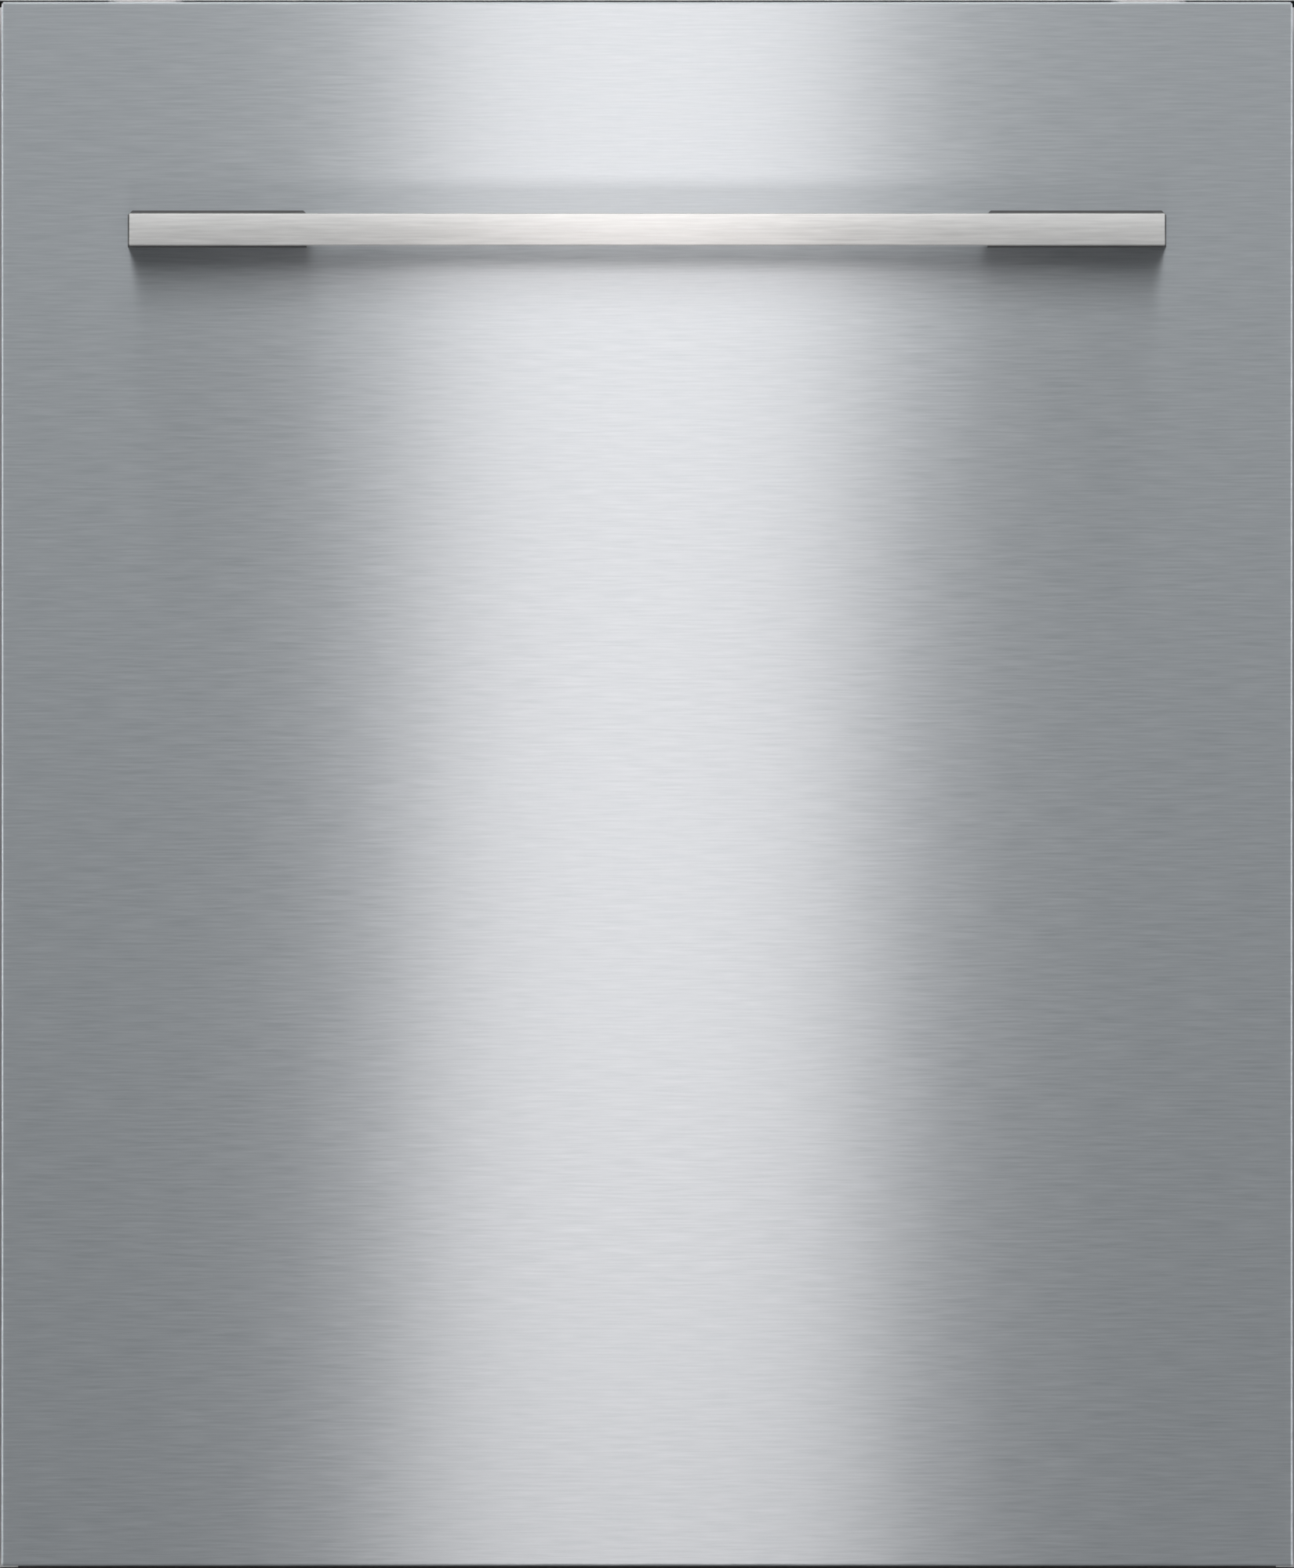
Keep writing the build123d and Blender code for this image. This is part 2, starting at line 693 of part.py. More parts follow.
with BuildPart() as feed_tube:
    with BuildSketch(Plane.XY.offset(tub_floor)):
        with Locations((0, sum(duct_y) / 2)):
            RectangleRounded(2 * duct_half, duct_y[1] - duct_y[0], duct_corner)
    extrude(amount=ceiling_duct[1] - tub_floor)
    with BuildSketch(Plane.XY.offset(ceiling_duct[0])):
        with Locations((0, (arm_y + duct_y[1]) / 2)):
            SlotOverall(duct_y[1] - arm_y + 2 * duct_half, 2 * duct_half, rotation=90)
        with Locations((0, duct_y[1])):
            Rectangle(4 * duct_half, 4 * duct_half, align=(Align.CENTER, Align.MIN), mode=Mode.SUBTRACT)
    extrude(amount=ceiling_duct[1] - ceiling_duct[0])
    with BuildSketch(Plane((arm_x, arm_y, ceiling_duct[0]), (1, 0, 0), (0, -1, 0))):
        with BuildLine():
            Polyline((0, lap), (shower_neck, lap), (shower_neck, -shower_drop[0]),
                     (shower_radius, -shower_drop[1]), (shower_radius, -shower_drop[2]),
                     (0, -shower_drop[3]), close=True)
        make_face()
    revolve(axis=Axis((arm_x, arm_y, 0), (0, 0, 1)))
    with BuildSketch(depth_plane(duct_y[0] + lap)):
        with Locations((0, dock_z)):
            Circle(dock_radius)
    extrude(amount=duct_y[0] + lap - dock_front)
save(feed_tube, "feed_tube")

# Front panel: the door front, a tray of folded brushed sheet with small rounded edges
panel_edge = 1.2
leg_screws = (175, 218)
screw_spots = [(s * x, panel_top - handle_drop - handle_height / 2) for s in (-1, 1) for x in leg_screws]
screw_hole = 2.3

with BuildPart() as front_panel:
    with BuildSketch(depth_plane(shell_front)):
        with Locations((0, (panel_top + panel_bottom) / 2)):
            Rectangle(panel_width, panel_height)
    extrude(amount=panel_depth)
    fillet(front_panel.faces().sort_by(Axis.Y)[0].edges() + front_panel.edges().filter_by(Axis.Y), panel_edge)
    offset(amount=-sheet, openings=front_panel.faces().sort_by(Axis.Y)[-1])
    with BuildSketch(depth_plane(panel_front + sheet + lap)):
        with Locations(*screw_spots):
            Circle(screw_hole)
    extrude(amount=sheet + 2 * lap, mode=Mode.SUBTRACT)
save(front_panel, "front_panel")

# Panel core: the damping board that fills the front panel, pocketed for the handle screws
core_gap = 0.6
pocket_radius = 7
pocket_depth = 8

with BuildPart() as panel_core:
    with BuildSketch(depth_plane(shell_front)):
        with Locations((0, (panel_top + panel_bottom) / 2)):
            Rectangle(panel_width - 2 * (sheet + core_gap), panel_height - 2 * (sheet + core_gap))
    extrude(amount=panel_depth - sheet)
    with BuildSketch(depth_plane(panel_front + pocket_depth)):
        with Locations(*screw_spots):
            Circle(pocket_radius)
    extrude(amount=pocket_depth + lap, mode=Mode.SUBTRACT)
save(panel_core, "panel_core")

# Handle bar: a flat extruded bar with a slightly crowned front
bar_depth = 12
bar_crown = 1.2
bar_edge = 1
bar_end_edge = 0.4
bar_top_z = panel_top - handle_drop
bar_low_z = bar_top_z - handle_height

with BuildPart() as handle_bar:
    with BuildSketch(Plane.YZ.offset(-handle_length / 2)):
        with BuildLine():
            Polyline((handle_front + bar_crown, bar_low_z), (handle_front + bar_depth, bar_low_z),
                     (handle_front + bar_depth, bar_top_z), (handle_front + bar_crown, bar_top_z))
            ThreePointArc((handle_front + bar_crown, bar_top_z), (handle_front, (bar_low_z + bar_top_z) / 2),
                          (handle_front + bar_crown, bar_low_z))
        make_face()
    extrude(amount=handle_length)
    fillet(handle_bar.edges().filter_by(Axis.X).group_by(Axis.Y)[0], bar_edge)
    chamfer(handle_bar.faces().filter_by(GeomType.PLANE).filter_by(Axis.X).edges(), bar_end_edge)
save(handle_bar, "handle_bar")

# Handle legs: dark moulded blocks behind the bar's ends, a little taller than the bar, corners cut off
leg_rise = 1.4
leg_drop = 0.7
leg_outer_cut = 2.1
leg_inner_cut = 1.4
leg_hole = 2.2
leg_hole_depth = 18

with BuildPart() as handle_legs:
    for s in (-1, 1):
        outer = s * handle_length / 2
        inner = s * (handle_length / 2 - leg_length)
        top = bar_top_z + leg_rise
        with BuildSketch(depth_plane(panel_front)):
            with BuildLine():
                Polyline((inner, bar_low_z - leg_drop), (outer, bar_low_z - leg_drop),
                         (outer, top - leg_outer_cut), (outer - s * leg_outer_cut, top),
                         (inner + s * leg_inner_cut, top), (inner, top - leg_inner_cut), close=True)
            make_face()
        extrude(amount=handle_reach - bar_depth)
    with BuildSketch(depth_plane(panel_front)):
        with Locations(*screw_spots):
            Circle(leg_hole)
    extrude(amount=leg_hole_depth, mode=Mode.SUBTRACT)
save(handle_legs, "handle_legs")

# Handle screws: pan-head screws from inside the front panel into the legs
bolt_head = 5
bolt_head_height = 3
bolt_radius = 2
bolt_length = 18

with BuildPart() as handle_screws:
    with BuildSketch(depth_plane(panel_front + sheet + bolt_head_height)):
        with Locations(*screw_spots):
            Circle(bolt_head)
    extrude(amount=bolt_head_height)
    with BuildSketch(depth_plane(panel_front + sheet + lap)):
        with Locations(*screw_spots):
            Circle(bolt_radius)
    extrude(amount=bolt_length)
save(handle_screws, "handle_screws")

# Door shell: the tray of sheet behind the front panel that the hinge arms and the liner are screwed to
shell_half = 278
shell_bottom = 108
shell_top = 784
shell_corner = 5
liner_flange = -206

with BuildPart() as door_shell:
    block((-shell_half, shell_half), (shell_front, liner_flange - sheet), (shell_bottom, shell_top))
    fillet(door_shell.edges().filter_by(Axis.Y), shell_corner)
    offset(amount=-sheet, openings=door_shell.faces().sort_by(Axis.Y)[-1])
save(door_shell, "door_shell")

# Door liner: the drawn steel inner side of the door, whose field stands into the tub's mouth
field_half = 255
field_face = -184
field_bottom = 160
field_top = 772
liner_field_corner = 22
liner_field_round = 9
liner_corner = 6
liner_half = 276
liner_bottom = 110
liner_top = 782
dispenser_x = -30
dispenser_z = 460
dispenser_size = (160, 120)
dispenser_corner = 12
dispenser_face = -178
dispenser_fit = 0.5

with BuildPart() as door_liner:
    with BuildSketch(depth_plane(field_face)):
        with Locations((0, (field_bottom + field_top) / 2)):
            RectangleRounded(2 * field_half, field_top - field_bottom, liner_field_corner)
    extrude(amount=field_face - liner_flange + sheet)
    fillet(door_liner.faces().sort_by(Axis.Y)[-1].edges(), liner_field_round)
    offset(amount=-sheet, openings=door_liner.faces().sort_by(Axis.Y)[0])
    with BuildSketch(depth_plane(liner_flange)):
        with Locations((0, (liner_bottom + liner_top) / 2)):
            RectangleRounded(2 * liner_half, liner_top - liner_bottom, liner_corner)
        with Locations((0, (field_bottom + field_top) / 2)):
            RectangleRounded(2 * field_half - sheet, field_top - field_bottom - sheet,
                             liner_field_corner - sheet / 2, mode=Mode.SUBTRACT)
    extrude(amount=sheet)
    with BuildSketch(depth_plane(dispenser_face)):
        with Locations((dispenser_x, dispenser_z)):
            RectangleRounded(dispenser_size[0] + 2 * dispenser_fit, dispenser_size[1] + 2 * dispenser_fit,
                             dispenser_corner + dispenser_fit)
    extrude(amount=dispenser_face - field_face + sheet + lap, mode=Mode.SUBTRACT)
save(door_liner, "door_liner")

# Control strip: the moulding along the door's top edge, with holes for the buttons, the display
# window and the latch tongue, and two ears that carry the latch pawl
strip_half = 286
strip_back = -207
strip_top = 809
strip_wall = 2
strip_round = 5
button_y = -228
button_radius = 6.5
button_gap = 0.5
button_spots = {"power_button": -258, "program_button_1": 136, "program_button_2": 166,
                "program_button_3": 196, "start_button": 258}
window_x = (30, 110)
window_y = (-238, -218)
window_sheet = 1.2
pawl_y = -239
pawl_z = 800
pawl_pin = 2
tongue_room_x = (-20, 20)
tongue_room_z = (793, 803)
ear_x = (6, 9)
ear_y = (pawl_y - 4, pawl_y + 5)

with BuildPart() as control_strip:
    block((-strip_half, strip_half), (shell_front, strip_back), (shell_top, strip_top))
    fillet(control_strip.edges().filter_by(Axis.X).group_by(Axis.Y)[-1].sort_by(Axis.Z)[-1], strip_round)
    offset(amount=-strip_wall, openings=control_strip.faces().sort_by(Axis.Z)[0])
    with BuildSketch(Plane.XY.offset(strip_top + lap)):
        with Locations(*[(x, button_y) for x in button_spots.values()]):
            Circle(button_radius + button_gap)
    extrude(amount=-strip_wall - 2 * lap, mode=Mode.SUBTRACT)
    block(window_x, window_y, (strip_top - window_sheet, strip_top + lap), mode=Mode.SUBTRACT)
    block(tongue_room_x, (strip_back - strip_wall - lap, strip_back + lap), tongue_room_z, mode=Mode.SUBTRACT)
    for s in (-1, 1):
        block(sorted((s * ear_x[0], s * ear_x[1])), ear_y, (tongue_room_z[0], strip_top - strip_wall + lap))
    with BuildSketch(Plane.YZ.offset(-ear_x[0] - lap)):
        with Locations((pawl_y, pawl_z)):
            Circle(pawl_pin)
    extrude(amount=2 * (ear_x[0] + lap))
save(control_strip, "control_strip")

# Display window: dark glass let into the control strip
window_gap = 0.3

with BuildPart() as display_window:
    block((window_x[0] + window_gap, window_x[1] - window_gap),
          (window_y[0] + window_gap, window_y[1] - window_gap), (strip_top - window_sheet, strip_top))
save(display_window, "display_window")

# Buttons: round plungers with a retaining collar that rests under the strip, over the switch below
button_rise = 1.2
button_chamfer = 0.8
collar_height = 2
collar_radius = button_radius + 2
collar_top = strip_top - strip_wall - button_gap
collar_low = collar_top - collar_height
button_top = strip_top + button_rise

for label, x in button_spots.items():
    with BuildPart() as button:
        with BuildSketch(Plane((x, button_y, 0), (1, 0, 0), (0, -1, 0))):
            with BuildLine():
                Polyline((0, collar_low), (collar_radius, collar_low), (collar_radius, collar_top),
                         (button_radius, collar_top), (button_radius, button_top - button_chamfer),
                         (button_radius - button_chamfer, button_top), (0, button_top), close=True)
            make_face()
        revolve(axis=Axis((x, button_y, 0), (0, 0, 1)))
    save(button, label)

# Control boards: two circuit boards on stand-offs, with a switch below each button
board_z = (792, 793.6)
board_y = (-243, -211)
board_spans = ((-276, -236), (30, 276))
stand_radius = 3
stand_inset = (8, 6)
switch_half = 3
button_travel = 2.1
switch_top = collar_low - button_travel

with BuildPart() as control_boards:
    for board_x in board_spans:
        block(board_x, board_y, board_z)
        for x in (board_x[0] + stand_inset[0], board_x[1] - stand_inset[0]):
            with Locations((x, board_y[1] - stand_inset[1], shell_top)):
                Cylinder(stand_radius, board_z[0] - shell_top + lap,
                         align=(Align.CENTER, Align.CENTER, Align.MIN))
    for x in button_spots.values():
        block((x - switch_half, x + switch_half), (button_y - switch_half, button_y + switch_half),
              (board_z[1] - lap, switch_top))
save(control_boards, "control_boards")

# Latch pawl: a lever in the control strip whose nose rides over the tongue
nose_y = -216
nose_z = 801
nose_radius = 1.8
pawl_radius = 4
pawl_half = 4

with BuildPart() as latch_pawl:
    with BuildSketch(Plane.YZ.offset(-pawl_half)):
        with Locations((pawl_y, pawl_z)):
            Circle(pawl_radius)
        with Locations((nose_y, nose_z)):
            Circle(nose_radius)
        make_hull()
        with Locations((pawl_y, pawl_z)):
            Circle(pawl_pin + hinge_fit, mode=Mode.SUBTRACT)
    extrude(amount=2 * pawl_half)
save(latch_pawl, "latch_pawl")

# Hinge arms: steel levers screwed to the sides of the door shell, bored for the hinge pins
arm_plate = 4
arm_boss = 12
arm_end = (-224, 330)
arm_end_radius = 9
arm_slot = (34, 7)
arm_slot_spots = [(-221, 230), (-223, 290)]

with BuildPart() as hinge_arms:
    for s in (-1, 1):
        with BuildSketch(Plane.YZ.offset(s * shell_half)):
            with Locations((hinge_y, hinge_z)):
                Circle(arm_boss)
            with Locations(arm_end):
                Circle(arm_end_radius)
            make_hull()
            with Locations((hinge_y, hinge_z)):
                Circle(hinge_pin_radius + hinge_fit, mode=Mode.SUBTRACT)
            with Locations(*arm_slot_spots):
                SlotOverall(*arm_slot, rotation=90, mode=Mode.SUBTRACT)
        extrude(amount=s * arm_plate)
save(hinge_arms, "hinge_arms")

# Bottom seal: the rubber lip along the foot of the door liner
lip_half = 268
lip_z = (114, 117, 121, 130)
lip_root = liner_flange + 4
lip_tip = liner_flange + 9

with BuildPart() as bottom_seal:
    with BuildSketch(Plane.YZ.offset(-lip_half)):
        with BuildLine():
            Polyline((liner_flange, lip_z[0]), (liner_flange, lip_z[3]), (lip_root, lip_z[3]),
                     (lip_tip - lap, lip_z[2]), (lip_tip, lip_z[1]), (lip_root, lip_z[0]), close=True)
        make_face()
    extrude(amount=2 * lip_half)
save(bottom_seal, "bottom_seal")

# Detergent dispenser: a moulded block let into the liner, with a powder chamber and a rinse-aid filler
chamber_x = -66
chamber_z = dispenser_z - 8
chamber_size = (62, 74)
chamber_corner = 10
chamber_depth = 17
filler_x = 14
filler_radius = 13
filler_depth = 14
dispenser_depth = 25
dispenser_edge = 2

with BuildPart() as detergent_dispenser:
    with BuildSketch(depth_plane(dispenser_face)):
        with Locations((dispenser_x, dispenser_z)):
            RectangleRounded(*dispenser_size, dispenser_corner)
    extrude(amount=dispenser_depth)
    chamfer(detergent_dispenser.faces().sort_by(Axis.Y)[-1].edges(), dispenser_edge)
    with BuildSketch(depth_plane(dispenser_face)):
        with Locations((chamber_x, chamber_z)):
            RectangleRounded(*chamber_size, chamber_corner)
    extrude(amount=chamber_depth, mode=Mode.SUBTRACT)
    with BuildSketch(depth_plane(dispenser_face)):
        with Locations((filler_x, dispenser_z)):
            Circle(filler_radius)
    extrude(amount=filler_depth, mode=Mode.SUBTRACT)
save(detergent_dispenser, "detergent_dispenser")

# Dispenser lid: a sliding cover over the powder chamber with a finger rib
lid_gap = 0.5
lid_sheet = 3
lid_lap = 5
lid_rib_half = 20
lid_rib_z = (dispenser_z - 36, dispenser_z - 32)

with BuildPart() as dispenser_lid:
    with BuildSketch(depth_plane(dispenser_face + lid_gap + lid_sheet)):
        with Locations((chamber_x, chamber_z)):
            RectangleRounded(chamber_size[0] + 2 * lid_lap, chamber_size[1] + 2 * lid_lap, chamber_corner)
    extrude(amount=lid_sheet)
    block((chamber_x - lid_rib_half, chamber_x + lid_rib_half),
          (dispenser_face + lid_sheet, dispenser_face + lid_gap + 2 * lid_sheet), lid_rib_z)
save(dispenser_lid, "dispenser_lid")

# Rinse-aid cap: a bayonet cap with a grip bar, its plug down in the filler
cap_radius = 22
cap_sheet = 3
plug_length = 11
cap_grip_half = (17, 2)

with BuildPart() as rinse_aid_cap:
    with BuildSketch(depth_plane(dispenser_face + lid_gap + cap_sheet)):
        with Locations((filler_x, dispenser_z)):
            Circle(cap_radius)
    extrude(amount=cap_sheet)
    with BuildSketch(depth_plane(dispenser_face + lid_gap + lap)):
        with Locations((filler_x, dispenser_z)):
            Circle(filler_radius - lap)
    extrude(amount=plug_length)
    block((filler_x - cap_grip_half[0], filler_x + cap_grip_half[0]),
          (dispenser_face + cap_sheet, dispenser_face + lid_gap + 2 * cap_sheet),
          (dispenser_z - cap_grip_half[1], dispenser_z + cap_grip_half[1]))
save(rinse_aid_cap, "rinse_aid_cap")


def bent_wire(points, radius, bend=0, closed=False):
    """One wire along straight runs with rounded bends, faceted to keep the welded baskets light."""
    with BuildPart() as wire:
        with BuildLine() as path:
            if bend:
                FilletPolyline(*points, radius=bend, close=closed)
            else:
                Line(*points)
        with BuildSketch(path.line ^ 0):
            RegularPolygon(radius, wire_sides)
        sweep()
    return wire.part


def ring_wire(half, front, rear, z, corner):
    """A closed rim wire round the basket at height z."""
    points = [(-half, front, z), (half, front, z), (half, rear, z), (-half, rear, z)]
    return bent_wire(points, rim_wire, corner, closed=True)


# Lower rack: rim rings, wires along and across the floor, and plate pins
lower_half = 246
lower_floor = 192
lower_rim = 320
lower_rings = (lower_rim, 268, 228)
lower_corner = 30
lower_bend = 25
lower_columns = (-200, -120, -40, 40, 120, 200)
wire_drop = 2 * thin_wire - weld_lap
rim_offset = thin_wire + rim_wire - weld_lap
pin_rows = (20, 80, 140)
pin_columns = (70, 100, 150, 180, 220)
pin_top = 276
lower_rows = (-100, -40, *pin_rows, 200)

lower_wires = []
for z in lower_rings:
    lower_wires.append(ring_wire(lower_half + rim_offset, rack_front - rim_offset, rack_rear + rim_offset,
                                 z, lower_corner))
for x in lower_columns:
    lower_wires.append(bent_wire([(x, rack_front, lower_rim), (x, rack_front, lower_floor),
                                  (x, rack_rear, lower_floor), (x, rack_rear, lower_rim)],
                                 thin_wire, lower_bend))
for y in lower_rows:
    low = lower_floor - wire_drop
    lower_wires.append(bent_wire([(-lower_half, y, lower_rim), (-lower_half, y, low),
                                  (lower_half, y, low), (lower_half, y, lower_rim)], thin_wire, lower_bend))
for y in pin_rows:
    for x in pin_columns:
        lower_wires.append(bent_wire([(x, y, lower_floor - wire_drop), (x, y, pin_top)], thin_wire))

with BuildPart() as lower_rack:
    add(lower_wires)
save(lower_rack, "lower_rack")

# Wheel brackets: moulded carriers, grooved to clip over the rack's cross wires, each with a stub axle
wheel_radius = 16
wheel_clearance = 0.3
wheel_z = tub_floor + wheel_radius + wheel_clearance
wheel_x = (232, 244)
wheel_rows = {"front_rack_wheels": -40, "rear_rack_wheels": 140}
axle_radius = 3
carrier_x = (224, 230)
carrier_boss = 8
carrier_top = lower_floor + 4
carrier_size = (44, 8)
groove_half = thin_wire + 0.2
groove_floor = lower_floor - wire_drop - thin_wire - 0.1

with BuildPart() as wheel_brackets:
    for y in wheel_rows.values():
        for s in (-1, 1):
            with BuildSketch(Plane.YZ.offset(s * carrier_x[0])):
                with Locations((y, wheel_z)):
                    Circle(carrier_boss)
                with Locations((y, carrier_top)):
                    Rectangle(*carrier_size, align=(Align.CENTER, Align.MAX))
                make_hull()
                with Locations((y, groove_floor)):
                    Rectangle(2 * groove_half, 2 * carrier_boss, align=(Align.CENTER, Align.MIN),
                              mode=Mode.SUBTRACT)
            extrude(amount=s * (carrier_x[1] - carrier_x[0]))
            with BuildSketch(Plane.YZ.offset(s * carrier_x[0])):
                with Locations((y, wheel_z)):
                    Circle(axle_radius)
            extrude(amount=s * (wheel_x[1] + lap - carrier_x[0]))
save(wheel_brackets, "wheel_brackets")

# Rack wheels: a left and a right roller on each axle line
wheel_chamfer = 2

for label, y in wheel_rows.items():
    with BuildPart() as wheels:
        for s in (-1, 1):
            with BuildSketch(Plane.YZ.offset(s * wheel_x[0])):
                with Locations((y, wheel_z)):
                    Circle(wheel_radius)
                    Circle(axle_radius + hinge_fit, mode=Mode.SUBTRACT)
            extrude(amount=s * (wheel_x[1] - wheel_x[0]))
        circles = wheels.edges().filter_by(GeomType.CIRCLE)
        chamfer(circles.filter_by(lambda edge: edge.radius > wheel_radius - 1), wheel_chamfer)
    save(wheels, label)

# Cutlery basket: a moulded open box with slotted walls and two dividers, standing on the rack floor
basket_x = (62, 212)
basket_y = (-118, -50)
basket_top = 300
basket_wall = 2.5
basket_floor = lower_floor + thin_wire + 0.1
basket_corner = 8
divider_half = 1
divider_drop = 14
basket_slot = (7, 34)
slot_grid = (9, 2)
slot_pitch = (16.6, 42)
slot_middle = 242

with BuildPart() as cutlery_basket:
    block(basket_x, basket_y, (basket_floor, basket_top))
    fillet(cutlery_basket.edges().filter_by(Axis.Z), basket_corner)
    offset(amount=-basket_wall, openings=cutlery_basket.faces().sort_by(Axis.Z)[-1])
    for third in (1, 2):
        x = basket_x[0] + third * (basket_x[1] - basket_x[0]) / 3
        block((x - divider_half, x + divider_half), (basket_y[0] + lap, basket_y[1] - lap),
              (basket_floor + lap, basket_top - divider_drop))
    with BuildSketch(depth_plane(basket_y[1] + lap)):
        with Locations((sum(basket_x) / 2, slot_middle)):
            with GridLocations(*slot_pitch, *slot_grid):
                Rectangle(*basket_slot)
    extrude(amount=basket_y[1] - basket_y[0] + 2 * lap, mode=Mode.SUBTRACT)
save(cutlery_basket, "cutlery_basket")

# Upper rack: rim rings and floor wires like the lower one, hung between the rail slides
upper_half = 230
upper_floor = 457
upper_rim = 562
upper_bend = 22
upper_ring = 500
upper_corner = 26
upper_rear = rack_rear - 4
upper_columns = (-190, -115, -40, 40, 115, 190)
glass_rows = (-50, 10, 90, 150)
glass_columns = (-150, -80, 80, 150)
glass_pin_top = 512
upper_rows = (-110, *glass_rows, 205)

upper_wires = []
for z in (upper_rim, upper_ring):
    upper_wires.append(ring_wire(upper_half + rim_offset, rack_front - rim_offset, upper_rear, z,
                                 upper_corner))
for x in upper_columns:
    upper_wires.append(bent_wire([(x, rack_front, upper_rim), (x, rack_front, upper_floor),
                                  (x, upper_rear - rim_offset, upper_floor),
                                  (x, upper_rear - rim_offset, upper_rim)], thin_wire, upper_bend))
for y in upper_rows:
    low = upper_floor - wire_drop
    upper_wires.append(bent_wire([(-upper_half, y, upper_rim), (-upper_half, y, low),
                                  (upper_half, y, low), (upper_half, y, upper_rim)], thin_wire, upper_bend))
for y in glass_rows:
    for x in glass_columns:
        upper_wires.append(bent_wire([(x, y, upper_floor - wire_drop), (x, y, glass_pin_top)], thin_wire))

with BuildPart() as upper_rack:
    add(upper_wires)
save(upper_rack, "upper_rack")

# Rack rails: channels on the tub's side walls in which the slides run
rail_z = (486, 514)
rail_inner = 259.5
rail_sheet = 1.5
rail_y = (-168, 262)

with BuildPart() as rack_rails:
    for s in (-1, 1):
        block(sorted((s * rail_inner, s * inner_half)), rail_y, rail_z)
        block(sorted((s * (rail_inner - lap), s * (inner_half - rail_sheet))),
              (rail_y[0] - lap, rail_y[1] - rail_sheet),
              (rail_z[0] + rail_sheet, rail_z[1] - rail_sheet), mode=Mode.SUBTRACT)
save(rack_rails, "rack_rails")

# Rail slides: the inner bars that run out with the upper rack at half its pace
slide_x = (261, 267.5)
slide_y = (rail_y[0] + 4, rail_y[1] - 6)
slide_z = (489, 511)
slide_round = 1.5

with BuildPart() as rail_slides:
    for s in (-1, 1):
        block(sorted((s * slide_x[0], s * slide_x[1])), slide_y, slide_z)
    fillet(rail_slides.edges().filter_by(Axis.Y), slide_round)
save(rail_slides, "rail_slides")

# Rack brackets: moulded blocks on the upper rack's sides that ride on the slides
rider_x = (upper_half + rim_offset + rim_wire, slide_x[0] - 0.6)
rider_rows = (-80, 120)
rider_length = 50
rider_z = (491, 509)
rider_round = 3

with BuildPart() as rack_brackets:
    for s in (-1, 1):
        for y in rider_rows:
            block(sorted((s * rider_x[0], s * rider_x[1])), (y, y + rider_length), rider_z)
    fillet(rack_brackets.edges().filter_by(Axis.X), rider_round)
save(rack_brackets, "rack_brackets")

# Upper arm feed: the duct under the upper rack, from the docking port to the hub of the upper arm
feed_z = (437.7, upper_floor - wire_drop - thin_wire)
hub_bore = 9
feed_half = 13
feed_corner = 8
feed_rear = dock_front - 2
feed_spigot = 20

with BuildPart() as upper_arm_feed:
    with BuildSketch(Plane.XY.offset(feed_z[0])):
        with Locations((0, (arm_y + feed_rear) / 2)):
            RectangleRounded(2 * feed_half, feed_rear - arm_y + 2 * feed_half, feed_corner)
        with Locations((0, feed_rear)):
            Rectangle(4 * feed_half, 4 * feed_half, align=(Align.CENTER, Align.MIN), mode=Mode.SUBTRACT)
    extrude(amount=feed_z[1] - feed_z[0])
    with Locations((arm_x, arm_y, feed_z[0] + lap)):
        Cylinder(arm_spigot, feed_spigot, align=(Align.CENTER, Align.CENTER, Align.MAX))
save(upper_arm_feed, "upper_arm_feed")

# Spray arms: a hub with two swept hollow blades and rows of jets
blade_tip = 180
blade_sweep = 14
blade_root = 24
blade_end = 17
blade_height = 13
blade_lift = 5
blade_round = 4
jet_count = 5
jet_size = (9, 3)
jet_depth = 4
jet_turn = 20
jet_spread = 5.4
lower_hub = (arm_shoulder + 0.6, 183)
lower_bore = (arm_shoulder, arm_spigot_top + 1.5)
upper_hub = (414, feed_z[0] - 0.7)
upper_bore = (feed_z[0] - feed_spigot, feed_z[0] + 0.5)

for label, (hub_low, hub_high), (bore_low, bore_high) in (
        ("lower_spray_arm", lower_hub, lower_bore), ("upper_spray_arm", upper_hub, upper_bore)):
    blade_low = hub_low + blade_lift
    with BuildPart() as spray_arm:
        with Locations((arm_x, arm_y, hub_low)):
            Cylinder(blade_root, hub_high - hub_low, align=(Align.CENTER, Align.CENTER, Align.MIN))
        for s in (-1, 1):
            with BuildSketch(Plane.XY.offset(blade_low)):
                with Locations((arm_x, arm_y)):
                    Circle(blade_root - 2)
                with Locations((arm_x + s * blade_tip, arm_y + s * blade_sweep)):
                    Circle(blade_end)
                make_hull()
            extrude(amount=blade_height)
        blade_faces = spray_arm.faces().filter_by(Axis.Z).filter_by(lambda f: f.center().Z < hub_high - lap)
        fillet(blade_faces.sort_by(SortBy.AREA)[-1].edges().filter_by(GeomType.LINE), blade_round)
        with BuildSketch(Plane.XY.offset(blade_low + blade_height + lap)):
            for s in (-1, 1):
                for step in range(1, jet_count + 1):
                    reach = s * step / jet_spread
                    with Locations((arm_x + blade_tip * reach, arm_y + blade_sweep * reach)):
                        Rectangle(*jet_size, rotation=jet_turn * step)
        extrude(amount=-jet_depth - lap, mode=Mode.SUBTRACT)
        with Locations((arm_x, arm_y, bore_low)):
            Cylinder(hub_bore, bore_high - bore_low, align=(Align.CENTER, Align.CENTER, Align.MIN),
                     mode=Mode.SUBTRACT)
    save(spray_arm, label)

# Feet: threaded stems with a round pad, screwed up into the base
foot_pad = 18
foot_pad_height = 7
foot_edge = 1
foot_neck = 11
foot_stem = 5
foot_height = 12
foot_stem_top = 84

